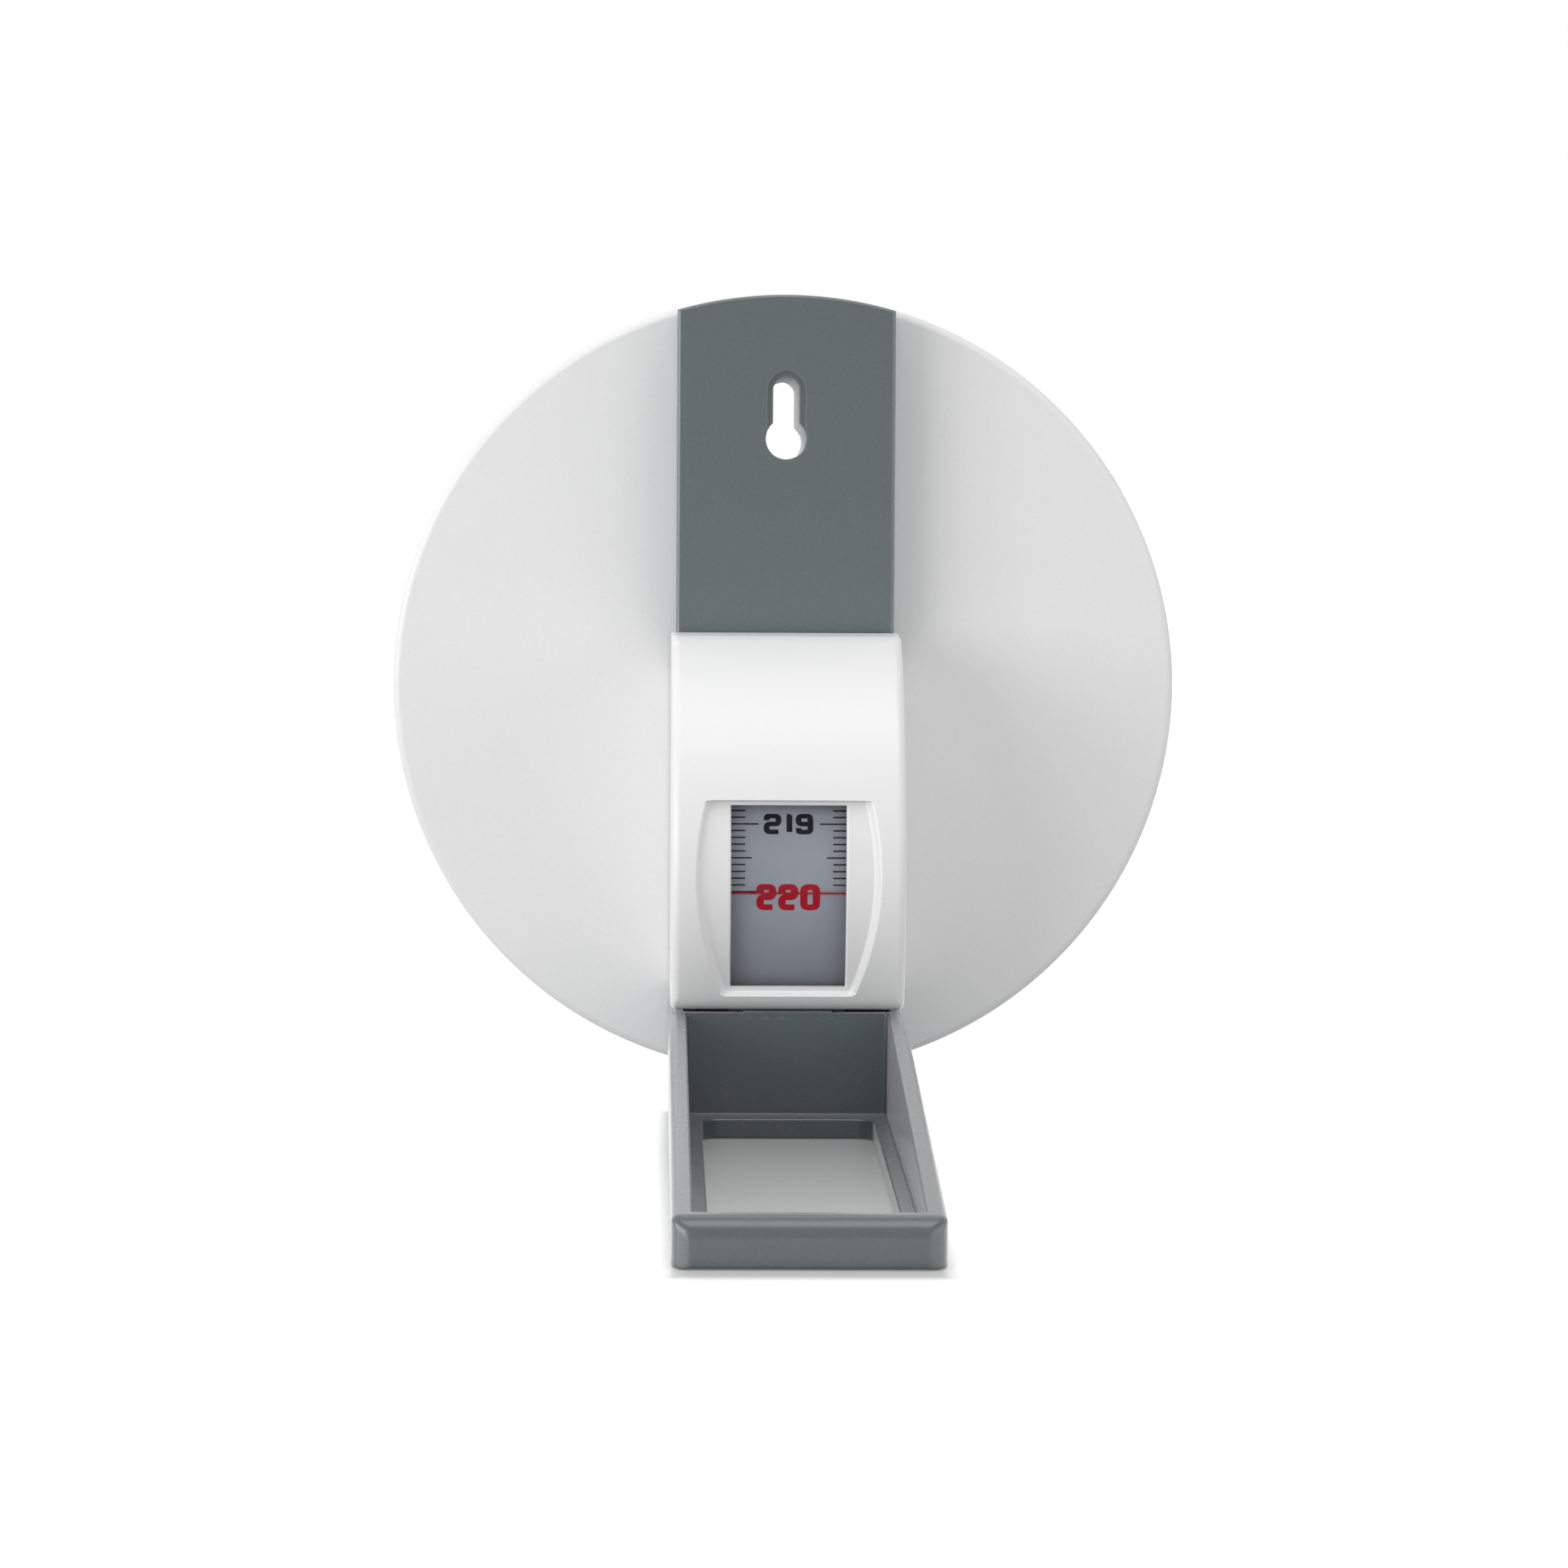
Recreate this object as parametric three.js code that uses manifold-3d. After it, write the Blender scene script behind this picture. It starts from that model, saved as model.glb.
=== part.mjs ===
// Wall-mounted stadiometer with a roll-up tape, in millimetres.
// Origin: centre of the wall plate's back face. +X right, +Y into the wall, +Z up.
// Depths are measured out from the wall, so a depth d lies at y = -d.

import * as THREE from 'three';
import { mergeVertices } from 'three/addons/utils/BufferGeometryUtils.js';
import Module from 'manifold-3d';

const wasm = await Module();
wasm.setup();

// Driving sizes, wall plate and tape anchor
const PLATE_RADIUS = 60;
const PLATE_THICKNESS = 2.6;
const PLATE_RIM_RADIUS = 1.2;
const PLATE_BACK_CHAMFER = 0.4;
const ANCHOR_BOTTOM_Z = 14;
const ANCHOR_HEIGHT = 10;
const ANCHOR_RISE = 2.2;
const ANCHOR_SIDE = 3.9;
const ANCHOR_CORNER = 1.5;
const CLAMP_THICKNESS = 0.9;
const CLAMP_SCREW_OFFSET = 1.8;
const CLAMP_SCREW_REACH = 3.6;

// Driving sizes, keyholes
const KEYHOLE_Z = 38;
const KEYHOLE_RADIUS = 3.1;
const KEYHOLE_SLOT_WIDTH = 4;
const KEYHOLE_SLOT_REACH = 9.4;
const KEYHOLE_RECESS_WIDTH = 5.8;
const KEYHOLE_RECESS_DEPTH = 1;
const WALL_KEYHOLE_SHIFT_X = -0.6;
const WALL_KEYHOLE_SHIFT_Z = -0.9;

// Driving sizes, channel of the head frame
const CHANNEL_SIDE_INSET = 0.75;
const CHANNEL_ARC_INSET = 0.2;
const CHANNEL_WALL = 2.2;
const CHANNEL_FRONT_WALL = 2;
const CHANNEL_SLOT_LIP = 0.7;
const CHANNEL_NECK_RISE = 2.5;
const STOP_RIB_WIDTH = 4;
const STOP_RIB_HEIGHT = 2.4;

// Driving sizes, foot and measuring tongue
const FOOT_SIDE_MARGIN = 0.25;
const FOOT_WALL = 2.2;
const FOOT_FLOOR = 1.5;
const SHOULDER_WIDTH = 1.2;
const SHOULDER_HEIGHT = 4.5;
const TONGUE_OVERHANG = 1.07;
const TONGUE_BACK_WALL = 2.2;
const TONGUE_FRONT_DEPTH = 161.4;
const TONGUE_FRONT_HEIGHT = 6.5;
const TONGUE_FRONT_WALL = 4;
const TONGUE_FRONT_FILLET = 2.6;
const TONGUE_TOE_FILLET = 0.6;
const TONGUE_FLOOR = 2.9;
const TONGUE_CORNER = 3;
const POCKET_CORNER = 0.6;
const POCKET_RIM_WALL = 2.65;
const POCKET_FLOOR_WALL = 2.75;
const OPENING_END_LEDGE = 4.4;
const OPENING_SIDE_LEDGE = 2.15;
const OPENING_CORNER = 3;

// Driving sizes, case cover and window
const BULGE_RADIUS = 37.7;
const BULGE_TOP_ANGLE = 68.6;
const COVER_WALL = 2.4;
const COVER_SIDE_WALL = 2.1;
const COVER_CHIN = 2.35;
const COVER_ABOVE_PIN = 7.45;
const PARTING_HEIGHT = 9;
const LUG_WIDTH = 8;
const LUG_REACH = 2.6;
const LUG_THICKNESS = 1.6;
const RECESS_DEPTH = 1.2;
const RECESS_TOP_MARGIN = 0.5;
const RECESS_BOTTOM_MARGIN = 1.3;
const RECESS_TOP_SIDE = 3.9;
const RECESS_MIDDLE_SIDE = 5.05;
const RECESS_BOTTOM_SIDE = 1.3;
const WINDOW_SIDE_MARGIN = 0.1;
const WINDOW_HEIGHT = 27;
const LENS_THICKNESS = 1;
const LENS_MARGIN = 1.1;

// Driving sizes, tape and reel
const TAPE_WIDTH = 17.2;
const TAPE_THICKNESS = 0.2;
const TAPE_LEAVE_ANGLE = 27;
const TAPE_ARC_END_ANGLE = -45;
const REEL_Z = -17.2;
const COIL_BUILD = 4.45;
const HUB_WALL = 0.9;
const FLANGE_LIP = 0.8;
const FLANGE_THICKNESS = 1.2;
const AXLE_RADIUS = 1.5;
const AXLE_END = 0.8;
const AXLE_GROOVE = 0.4;
const RING_RADIUS = 2.6;
const RING_THICKNESS = 0.6;
const BUSH_WALL = 1;
const BUSH_LIP = 0.8;
const BUSH_LIP_THICKNESS = 0.7;
const ARBOR_WALL = 0.9;
const SPRING_STRIP = 0.35;
const SPRING_PITCH = 0.75;
const SPRING_TURNS = 4;
const SPRING_WIDTH = 12;

// Driving sizes, guide roller
const ROLLER_RADIUS = 8.6;
const ROLLER_LIP = 0.7;
const ROLLER_RIM = 1.4;
const ROLLER_HUB_WALL = 1.6;
const ROLLER_WEB = 4;
const SPACER_WALL = 1;
const PIN_SEAT = 1.4;

// Driving sizes, reel frame and fasteners
const CHEEK_THICKNESS = 1.5;
const CHEEK_FRONT_ANGLE = 24;
const BACKING_THICKNESS = 1.2;
const BACKING_TOP_ANGLE = 6;
const BACKING_END_ANGLE = -44;
const BAR_THICKNESS = 1.6;
const BAR_HEIGHT = 5;
const LOWER_BAR_DROP = 3;
const FRAME_SCREW_X = 6;
const SCREW_RADIUS = 1;
const SCREW_HEAD_RADIUS = 1.9;
const SCREW_HEAD_THICKNESS = 0.9;
const SCREW_TIP = 0.6;
const COVER_SCREW_X = 9.5;
const COVER_SCREW_REACH = 7;
const BOSS_RADIUS = 2.7;
const BOSS_SINK = 0.5;

// Clearances and facets
const GAP = 0.3;
const WALL_GAP = 0.4;
const SLOT_CLEARANCE = 0.6;
const LENS_CLEARANCE = 0.7;
const REEL_CLEARANCE = 0.7;
const ROLLER_CLEARANCE = 0.5;
const ROLLER_HEADROOM = 1;
const LUG_CLEARANCE = 1;
const OVERRUN = 4;
const ROUND_STEPS = 24;
const REEL_STEPS = 48;
const WIDE_STEPS = 96;
const ARC_STEPS = 24;
const CORNER_STEPS = 5;
const SPRING_TURN_STEPS = 16;

const { degToRad } = THREE.MathUtils;

// Places along the reel's axis, from the middle outwards
const TAPE_HALF = TAPE_WIDTH / 2;
const FLANGE_INNER_X = TAPE_HALF + GAP;
const FLANGE_OUTER_X = FLANGE_INNER_X + FLANGE_THICKNESS;
const BUSH_INNER_X = FLANGE_OUTER_X + GAP;
const BUSH_OUTER_X = BUSH_INNER_X + BUSH_LIP_THICKNESS;
const CHEEK_INNER_X = BUSH_OUTER_X + GAP;
const CHEEK_OUTER_X = CHEEK_INNER_X + CHEEK_THICKNESS;
const RING_INNER_X = CHEEK_OUTER_X + GAP;
const RING_OUTER_X = RING_INNER_X + RING_THICKNESS;
const AXLE_END_X = RING_OUTER_X + GAP + AXLE_END;

// Half widths of what stands round the reel and the tape
const COVER_INNER_HALF = AXLE_END_X + GAP;
const COVER_HALF_WIDTH = COVER_INNER_HALF + COVER_SIDE_WALL;
const CHANNEL_HALF_WIDTH = COVER_HALF_WIDTH - CHANNEL_SIDE_INSET;
const CHANNEL_INNER_HALF = CHANNEL_HALF_WIDTH - CHANNEL_WALL;
const NARROW_HALF = COVER_INNER_HALF - GAP;
const NARROW_INNER_HALF = NARROW_HALF - CHANNEL_WALL;
const FOOT_HALF_WIDTH = COVER_HALF_WIDTH + FOOT_SIDE_MARGIN;
const FOOT_INNER_HALF = FOOT_HALF_WIDTH - FOOT_WALL;
const POCKET_RIM_HALF_WIDTH = FOOT_HALF_WIDTH - POCKET_RIM_WALL;
const POCKET_FLOOR_HALF_WIDTH = FOOT_HALF_WIDTH - POCKET_FLOOR_WALL;
const OPENING_HALF_WIDTH = POCKET_FLOOR_HALF_WIDTH - OPENING_SIDE_LEDGE;
const ANCHOR_HALF_WIDTH = TAPE_HALF + ANCHOR_SIDE;
const CLAMP_SCREW_X = TAPE_HALF + CLAMP_SCREW_OFFSET;
const WINDOW_HALF_WIDTH = TAPE_HALF + WINDOW_SIDE_MARGIN;

// Round pieces on the reel's axle, from the axle outwards
const BORE_RADIUS = AXLE_RADIUS + GAP;
const BUSH_RADIUS = BORE_RADIUS + BUSH_WALL;
const SPRING_START_RADIUS = BORE_RADIUS + ARBOR_WALL + GAP + SPRING_STRIP / 2;
const SPRING_END_RADIUS = SPRING_START_RADIUS + SPRING_PITCH * SPRING_TURNS;
const HUB_INNER_RADIUS = SPRING_END_RADIUS + SPRING_STRIP / 2 + GAP;
const HUB_RADIUS = HUB_INNER_RADIUS + HUB_WALL;
const COIL_RADIUS = HUB_RADIUS + GAP + COIL_BUILD;
const FLANGE_RADIUS = COIL_RADIUS + FLANGE_LIP;

// Depths from the wall outwards: tape anchor, tape, clamp, channel and reel
const BACK_DEPTH = PLATE_THICKNESS + WALL_GAP;
const ANCHOR_FACE_DEPTH = PLATE_THICKNESS + ANCHOR_RISE;
const BACK_RUN_DEPTH = ANCHOR_FACE_DEPTH + GAP;
const CLAMP_BACK_DEPTH = BACK_RUN_DEPTH + TAPE_THICKNESS + GAP;
const CLAMP_FRONT_DEPTH = CLAMP_BACK_DEPTH + CLAMP_THICKNESS;
const CLAMP_SCREW_SEAT = CLAMP_FRONT_DEPTH + GAP;
const SLOT_FRONT_DEPTH = CLAMP_SCREW_SEAT + SCREW_HEAD_THICKNESS + SLOT_CLEARANCE;
const CHANNEL_INNER_DEPTH = SLOT_FRONT_DEPTH + CHANNEL_SLOT_LIP;
const CHANNEL_FRONT_DEPTH = CHANNEL_INNER_DEPTH + CHANNEL_FRONT_WALL;
const SEAT_DEPTH = CHANNEL_FRONT_DEPTH + GAP;
const REEL_DEPTH = SEAT_DEPTH + REEL_CLEARANCE + FLANGE_RADIUS;
const WRAP_RADIUS = ROLLER_RADIUS + GAP;
const ROLLER_DEPTH = BACK_RUN_DEPTH + TAPE_THICKNESS + WRAP_RADIUS;

// The cover bulges in an arc, whose centre the lens, the tape and its backing share
const COVER_INNER_RADIUS = BULGE_RADIUS - COVER_WALL;
const LENS_OUTER_RADIUS = COVER_INNER_RADIUS - GAP;
const LENS_INNER_RADIUS = LENS_OUTER_RADIUS - LENS_THICKNESS;
const TAPE_OUTER_RADIUS = LENS_INNER_RADIUS - LENS_CLEARANCE;
const TAPE_INNER_RADIUS = TAPE_OUTER_RADIUS - TAPE_THICKNESS;
const BACKING_RADIUS = TAPE_INNER_RADIUS - GAP;

// The coil lies against the tape's arc from inside, where the tape leaves it
const leaveAngle = degToRad(TAPE_LEAVE_ANGLE);
const reelOffset = TAPE_INNER_RADIUS - GAP - COIL_RADIUS;
const BULGE_DEPTH = REEL_DEPTH - reelOffset * Math.cos(leaveAngle);
const BULGE_Z = REEL_Z - reelOffset * Math.sin(leaveAngle);

// The roller's height puts its wrap in line with the straight run after the arc
const endAngle = degToRad(TAPE_ARC_END_ANGLE);
const arcEndDepth = BULGE_DEPTH + TAPE_INNER_RADIUS * Math.cos(endAngle);
const arcEndZ = BULGE_Z + TAPE_INNER_RADIUS * Math.sin(endAngle);
const wrapDepth = ROLLER_DEPTH + WRAP_RADIUS * Math.cos(endAngle);
const wrapZ = arcEndZ + (arcEndDepth - wrapDepth) / Math.tan(endAngle);
const ROLLER_Z = wrapZ - WRAP_RADIUS * Math.sin(endAngle);
const ROLLER_LIP_RADIUS = ROLLER_RADIUS + ROLLER_LIP;

// Heights of the cover, the window, the foot and the channel
const topAngle = degToRad(BULGE_TOP_ANGLE);
const COVER_TOP_Z = BULGE_Z + BULGE_RADIUS * Math.sin(topAngle);
const COVER_TOP_DEPTH = BULGE_DEPTH + BULGE_RADIUS * Math.cos(topAngle);
const COVER_BOTTOM_Z = ROLLER_Z + COVER_ABOVE_PIN;
const COVER_SCREW_Z = COVER_TOP_Z - COVER_WALL + BOSS_SINK - BOSS_RADIUS;
const PARTING_BOTTOM_Z = COVER_TOP_Z - PARTING_HEIGHT;
const RECESS_BOTTOM_Z = COVER_BOTTOM_Z + COVER_CHIN;
const WINDOW_BOTTOM_Z = RECESS_BOTTOM_Z + RECESS_BOTTOM_MARGIN;
const WINDOW_TOP_Z = WINDOW_BOTTOM_Z + WINDOW_HEIGHT;
const RECESS_TOP_Z = WINDOW_TOP_Z + RECESS_TOP_MARGIN;
const FOOT_TOP_Z = COVER_BOTTOM_Z - ROLLER_CLEARANCE;
const FOOT_INNER_Z = ROLLER_Z - WRAP_RADIUS - TAPE_THICKNESS - ROLLER_CLEARANCE;
const FLOOR_Z = FOOT_INNER_Z - FOOT_FLOOR;
const POCKET_FLOOR_Z = FLOOR_Z + TONGUE_FLOOR;
const TONGUE_FRONT_Z = FLOOR_Z + TONGUE_FRONT_HEIGHT;
const CHANNEL_ARC_RADIUS = PLATE_RADIUS - CHANNEL_ARC_INSET;
const CHANNEL_NECK_Z = COVER_TOP_Z + CHANNEL_NECK_RISE;
const CHANNEL_FRONT_BOTTOM_Z = ROLLER_Z + ROLLER_LIP_RADIUS + ROLLER_HEADROOM;
const ANCHOR_TOP_Z = ANCHOR_BOTTOM_Z + ANCHOR_HEIGHT;
const ANCHOR_MIDDLE_Z = ANCHOR_BOTTOM_Z + ANCHOR_HEIGHT / 2;

// Heights of the reel frame, whose bars stand above and below the reel
const CHEEK_TOP_Z = REEL_Z + FLANGE_RADIUS;
const UPPER_BAR_BOTTOM_Z = CHEEK_TOP_Z - BAR_HEIGHT;
const LOWER_BAR_TOP_Z = REEL_Z - FLANGE_RADIUS - LOWER_BAR_DROP;
const LOWER_BAR_BOTTOM_Z = LOWER_BAR_TOP_Z - BAR_HEIGHT;

// Depths of the tongue, whose back wall stands under the cover's front
const coverChinDepth = BULGE_DEPTH + Math.sqrt(BULGE_RADIUS ** 2 - (COVER_BOTTOM_Z - BULGE_Z) ** 2);
const TONGUE_BACK_DEPTH = coverChinDepth - TONGUE_OVERHANG;
const FOOT_INNER_DEPTH = TONGUE_BACK_DEPTH - TONGUE_BACK_WALL;
const POCKET_FRONT_DEPTH = TONGUE_FRONT_DEPTH - TONGUE_FRONT_WALL;
const LUG_NEAR_DEPTH = ROLLER_DEPTH + BORE_RADIUS + SPACER_WALL + LUG_CLEARANCE;
const SCREW_HOLE_RADIUS = SCREW_RADIUS + GAP;

// Materials
function finish(color, roughness, metalness = 0) {
  return new THREE.MeshStandardMaterial({ color, roughness, metalness });
}

const whitePlastic = () => finish(0xe9e9e9, 0.4);
const grayPlastic = () => finish(0x6b7679, 0.6);
const darkPlastic = () => finish(0x3c4143, 0.55);
const tapeEnamel = () => finish(0xdfe2ea, 0.45);
const clearPlastic = () => finish(0xcfd8de, 0.05);
const steel = () => finish(0xb8bcc0, 0.3, 1);
const brass = () => finish(0xb08d4a, 0.35, 1);

// A geometry as loose triangles that face out, without the empty ones on a turned piece's axis
function facingOut(geometry) {
  const place = (geometry.index ? geometry.toNonIndexed() : geometry).attributes.position;
  const corner = (_, i) => new THREE.Vector3().fromBufferAttribute(place, i);
  const points = Array.from({ length: place.count }, corner);
  const triangles = Array.from({ length: points.length / 3 }, (_, i) => new THREE.Triangle(
    points[3 * i], points[3 * i + 1], points[3 * i + 2]));
  const kept = triangles.filter((triangle) => triangle.getArea() > 0);
  const volume = kept.reduce((sum, { a, b, c }) => sum + a.dot(b.clone().cross(c)), 0);
  const outward = kept.flatMap(({ a, b, c }) => (volume < 0 ? [a, c, b] : [a, b, c]));
  return new THREE.BufferGeometry().setFromPoints(outward);
}

// Joining and cutting
function toSolid(geometry) {
  const merged = mergeVertices(geometry);
  return new wasm.Manifold(new wasm.Mesh({
    numProp: 3,
    vertProperties: new Float32Array(merged.attributes.position.array),
    triVerts: new Uint32Array(merged.index.array),
  }));
}

function toGeometry(solid) {
  const mesh = solid.getMesh();
  const geometry = new THREE.BufferGeometry();
  geometry.setAttribute('position', new THREE.BufferAttribute(mesh.vertProperties, 3));
  geometry.setIndex(new THREE.BufferAttribute(mesh.triVerts, 1));
  return geometry.toNonIndexed();
}

function joined(...pieces) {
  return toGeometry(pieces.map(toSolid).reduce((a, b) => a.add(b)));
}

function cut(base, ...tools) {
  return toGeometry(tools.map(toSolid).reduce((a, b) => a.subtract(b), toSolid(base)));
}

function common(a, b) {
  return toGeometry(toSolid(a).intersect(toSolid(b)));
}

// Points of an arc or of a quarter ellipse, from one angle to another
function ellipsePoints(centre, reachA, reachB, start, stop, steps = ARC_STEPS) {
  return Array.from({ length: steps + 1 }, (_, i) => {
    const angle = start + (stop - start) * i / steps;
    return [centre[0] + reachA * Math.cos(angle), centre[1] + reachB * Math.sin(angle)];
  });
}

function arcPoints(centre, radius, start, stop, steps = ARC_STEPS) {
  return ellipsePoints(centre, radius, radius, start, stop, steps);
}

function outline(points) {
  return new THREE.Shape(points.map(([a, b]) => new THREE.Vector2(a, b)));
}

// An outline whose corners, each [a, b, radius], are rounded where they have a radius
function roundedOutline(corners) {
  const points = corners.flatMap(([a, b, radius = 0], i) => {
    const here = new THREE.Vector2(a, b);
    const [before, after] = [-1, 1].map((step) => {
      const [c, d] = corners.at((i + step) % corners.length);
      return new THREE.Vector2(c, d).sub(here).normalize();
    });
    const half = Math.acos(before.dot(after)) / 2;
    const centre = before.clone().add(after).setLength(radius / Math.sin(half)).add(here);
    const [from, to] = [before, after].map((way) => way.clone()
      .setLength(radius / Math.tan(half)).add(here).sub(centre).angle());
    const turn = THREE.MathUtils.euclideanModulo(to - from + Math.PI, 2 * Math.PI) - Math.PI;
    return radius ? arcPoints(centre.toArray(), radius, from, from + turn, CORNER_STEPS) : [[a, b]];
  });
  return outline(points);
}

function box2d(left, right, bottom, top, radius = 0) {
  return roundedOutline([
    [left, bottom, radius], [right, bottom, radius], [right, top, radius], [left, top, radius],
  ]);
}

// An outline in (x, z), filled between two depths
function fromFront(shape, near, far) {
  const geometry = new THREE.ExtrudeGeometry(shape, { depth: far - near, bevelEnabled: false });
  geometry.applyMatrix4(new THREE.Matrix4().set(1, 0, 0, 0, 0, 0, -1, -near, 0, 1, 0, 0, 0, 0, 0, 1));
  return facingOut(geometry);
}

// An outline in (depth, z), filled between two places along x
function fromSide(shape, left, right) {
  const geometry = new THREE.ExtrudeGeometry(shape, { depth: right - left, bevelEnabled: false });
  geometry.applyMatrix4(new THREE.Matrix4().set(0, 0, 1, left, -1, 0, 0, 0, 0, 1, 0, 0, 0, 0, 0, 1));
  return facingOut(geometry);
}

// An outline in (x, depth), filled between two heights
function fromAbove(shape, bottom, top) {
  const geometry = new THREE.ExtrudeGeometry(shape, { depth: top - bottom, bevelEnabled: false });
  geometry.applyMatrix4(new THREE.Matrix4().set(1, 0, 0, 0, 0, -1, 0, 0, 0, 0, 1, bottom, 0, 0, 0, 1));
  return facingOut(geometry);
}

function block(left, right, near, far, bottom, top) {
  return fromFront(box2d(left, right, bottom, top), near, far);
}

// A turned piece on an axis along x; the profile is in (radius, x)
function turnedAcross(profile, depth, z, steps = ROUND_STEPS) {
  const geometry = new THREE.LatheGeometry(profile.map(([r, x]) => new THREE.Vector2(r, x)), steps);
  geometry.rotateZ(-Math.PI / 2).translate(0, -depth, z);
  return facingOut(geometry);
}

// A turned piece on an axis out from the wall; the profile is in (radius, depth)
function turnedOutwards(profile, x, z, steps = ROUND_STEPS) {
  const geometry = new THREE.LatheGeometry(profile.map(([r, d]) => new THREE.Vector2(r, d)), steps);
  geometry.rotateX(Math.PI).translate(x, 0, z);
  return facingOut(geometry);
}

function rodAcross(radius, left, right, depth, z) {
  return turnedAcross([[0, left], [radius, left], [radius, right], [0, right]], depth, z);
}

function tubeAcross(inner, outer, left, right, depth, z, steps) {
  const profile = [[inner, left], [outer, left], [outer, right], [inner, right], [inner, left]];
  return turnedAcross(profile, depth, z, steps);
}

function rodOutwards(radius, near, far, x, z) {
  return turnedOutwards([[0, near], [radius, near], [radius, far], [0, far]], x, z);
}

// A screw along the depth; its head lies on the seat, on the side away from the tip
function screw(x, z, seat, tip) {
  const top = seat + Math.sign(seat - tip) * SCREW_HEAD_THICKNESS;
  return turnedOutwards([
    [0, top], [SCREW_HEAD_RADIUS, top], [SCREW_HEAD_RADIUS, seat], [SCREW_RADIUS, seat],
    [SCREW_RADIUS, tip], [0, tip],
  ], x, z);
}

function onBothSides(make) {
  return [-1, 1].map(make);
}

function span(a, b) {
  return [Math.min(a, b), Math.max(a, b)];
}

// A keyhole's outline: a round hole with a slot above it
function keyholeOutline(x, z, reach, slotWidth) {
  const half = slotWidth / 2;
  const meet = Math.acos(half / KEYHOLE_RADIUS);
  const hole = arcPoints([x, z], KEYHOLE_RADIUS, meet, -Math.PI - meet);
  const slot = arcPoints([x, z + reach - half], half, Math.PI, 0, CORNER_STEPS * 2);
  return outline([...hole, ...slot]);
}

// Wall plate, and the clamp that holds the tape's end on its boss
function anchorOutline() {
  return box2d(-ANCHOR_HALF_WIDTH, ANCHOR_HALF_WIDTH, ANCHOR_BOTTOM_Z, ANCHOR_TOP_Z, ANCHOR_CORNER);
}

function wallPlate() {
  const rimCentre = [PLATE_RADIUS - PLATE_RIM_RADIUS, PLATE_THICKNESS - PLATE_RIM_RADIUS];
  const rim = arcPoints(rimCentre, PLATE_RIM_RADIUS, 0, Math.PI / 2, CORNER_STEPS);
  const disc = turnedOutwards([
    [0, 0], [PLATE_RADIUS - PLATE_BACK_CHAMFER, 0], [PLATE_RADIUS, PLATE_BACK_CHAMFER], ...rim,
    [0, PLATE_THICKNESS],
  ], 0, 0, WIDE_STEPS);
  const boss = fromFront(anchorOutline(), PLATE_THICKNESS / 2, ANCHOR_FACE_DEPTH);
  const keyholeShape = keyholeOutline(
    WALL_KEYHOLE_SHIFT_X, KEYHOLE_Z + WALL_KEYHOLE_SHIFT_Z, KEYHOLE_SLOT_REACH, KEYHOLE_SLOT_WIDTH);
  const keyhole = fromFront(keyholeShape, -OVERRUN, PLATE_THICKNESS + OVERRUN);
  const screwHoles = onBothSides((side) => rodOutwards(
    SCREW_HOLE_RADIUS, CLAMP_FRONT_DEPTH - CLAMP_SCREW_REACH - GAP, ANCHOR_FACE_DEPTH + OVERRUN,
    side * CLAMP_SCREW_X, ANCHOR_MIDDLE_Z));
  return cut(joined(disc, boss), keyhole, ...screwHoles);
}

function tapeEndClamp() {
  const plate = fromFront(anchorOutline(), CLAMP_BACK_DEPTH, CLAMP_FRONT_DEPTH);
  const holes = onBothSides((side) => rodOutwards(
    SCREW_HOLE_RADIUS, CLAMP_BACK_DEPTH - OVERRUN, CLAMP_FRONT_DEPTH + OVERRUN,
    side * CLAMP_SCREW_X, ANCHOR_MIDDLE_Z));
  return cut(plate, ...holes);
}

function clampScrew(side) {
  return screw(
    side * CLAMP_SCREW_X, ANCHOR_MIDDLE_Z, CLAMP_SCREW_SEAT, CLAMP_FRONT_DEPTH - CLAMP_SCREW_REACH);
}

// Head frame: the channel behind the cover and above it
function channelTopOutline(half, radius, bottom) {
  const spread = Math.asin(half / radius);
  const top = arcPoints([0, 0], radius, Math.PI / 2 - spread, Math.PI / 2 + spread);
  return outline([[half, bottom], ...top, [-half, bottom]]);
}

// The curved line where the cover's sides meet the channel, from the back to the seat
function partingCurve(clearance) {
  const reachDepth = BACK_DEPTH - SEAT_DEPTH - clearance;
  return ellipsePoints(
    [SEAT_DEPTH, PARTING_BOTTOM_Z], reachDepth, PARTING_HEIGHT + clearance, 0, Math.PI / 2);
}

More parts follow.
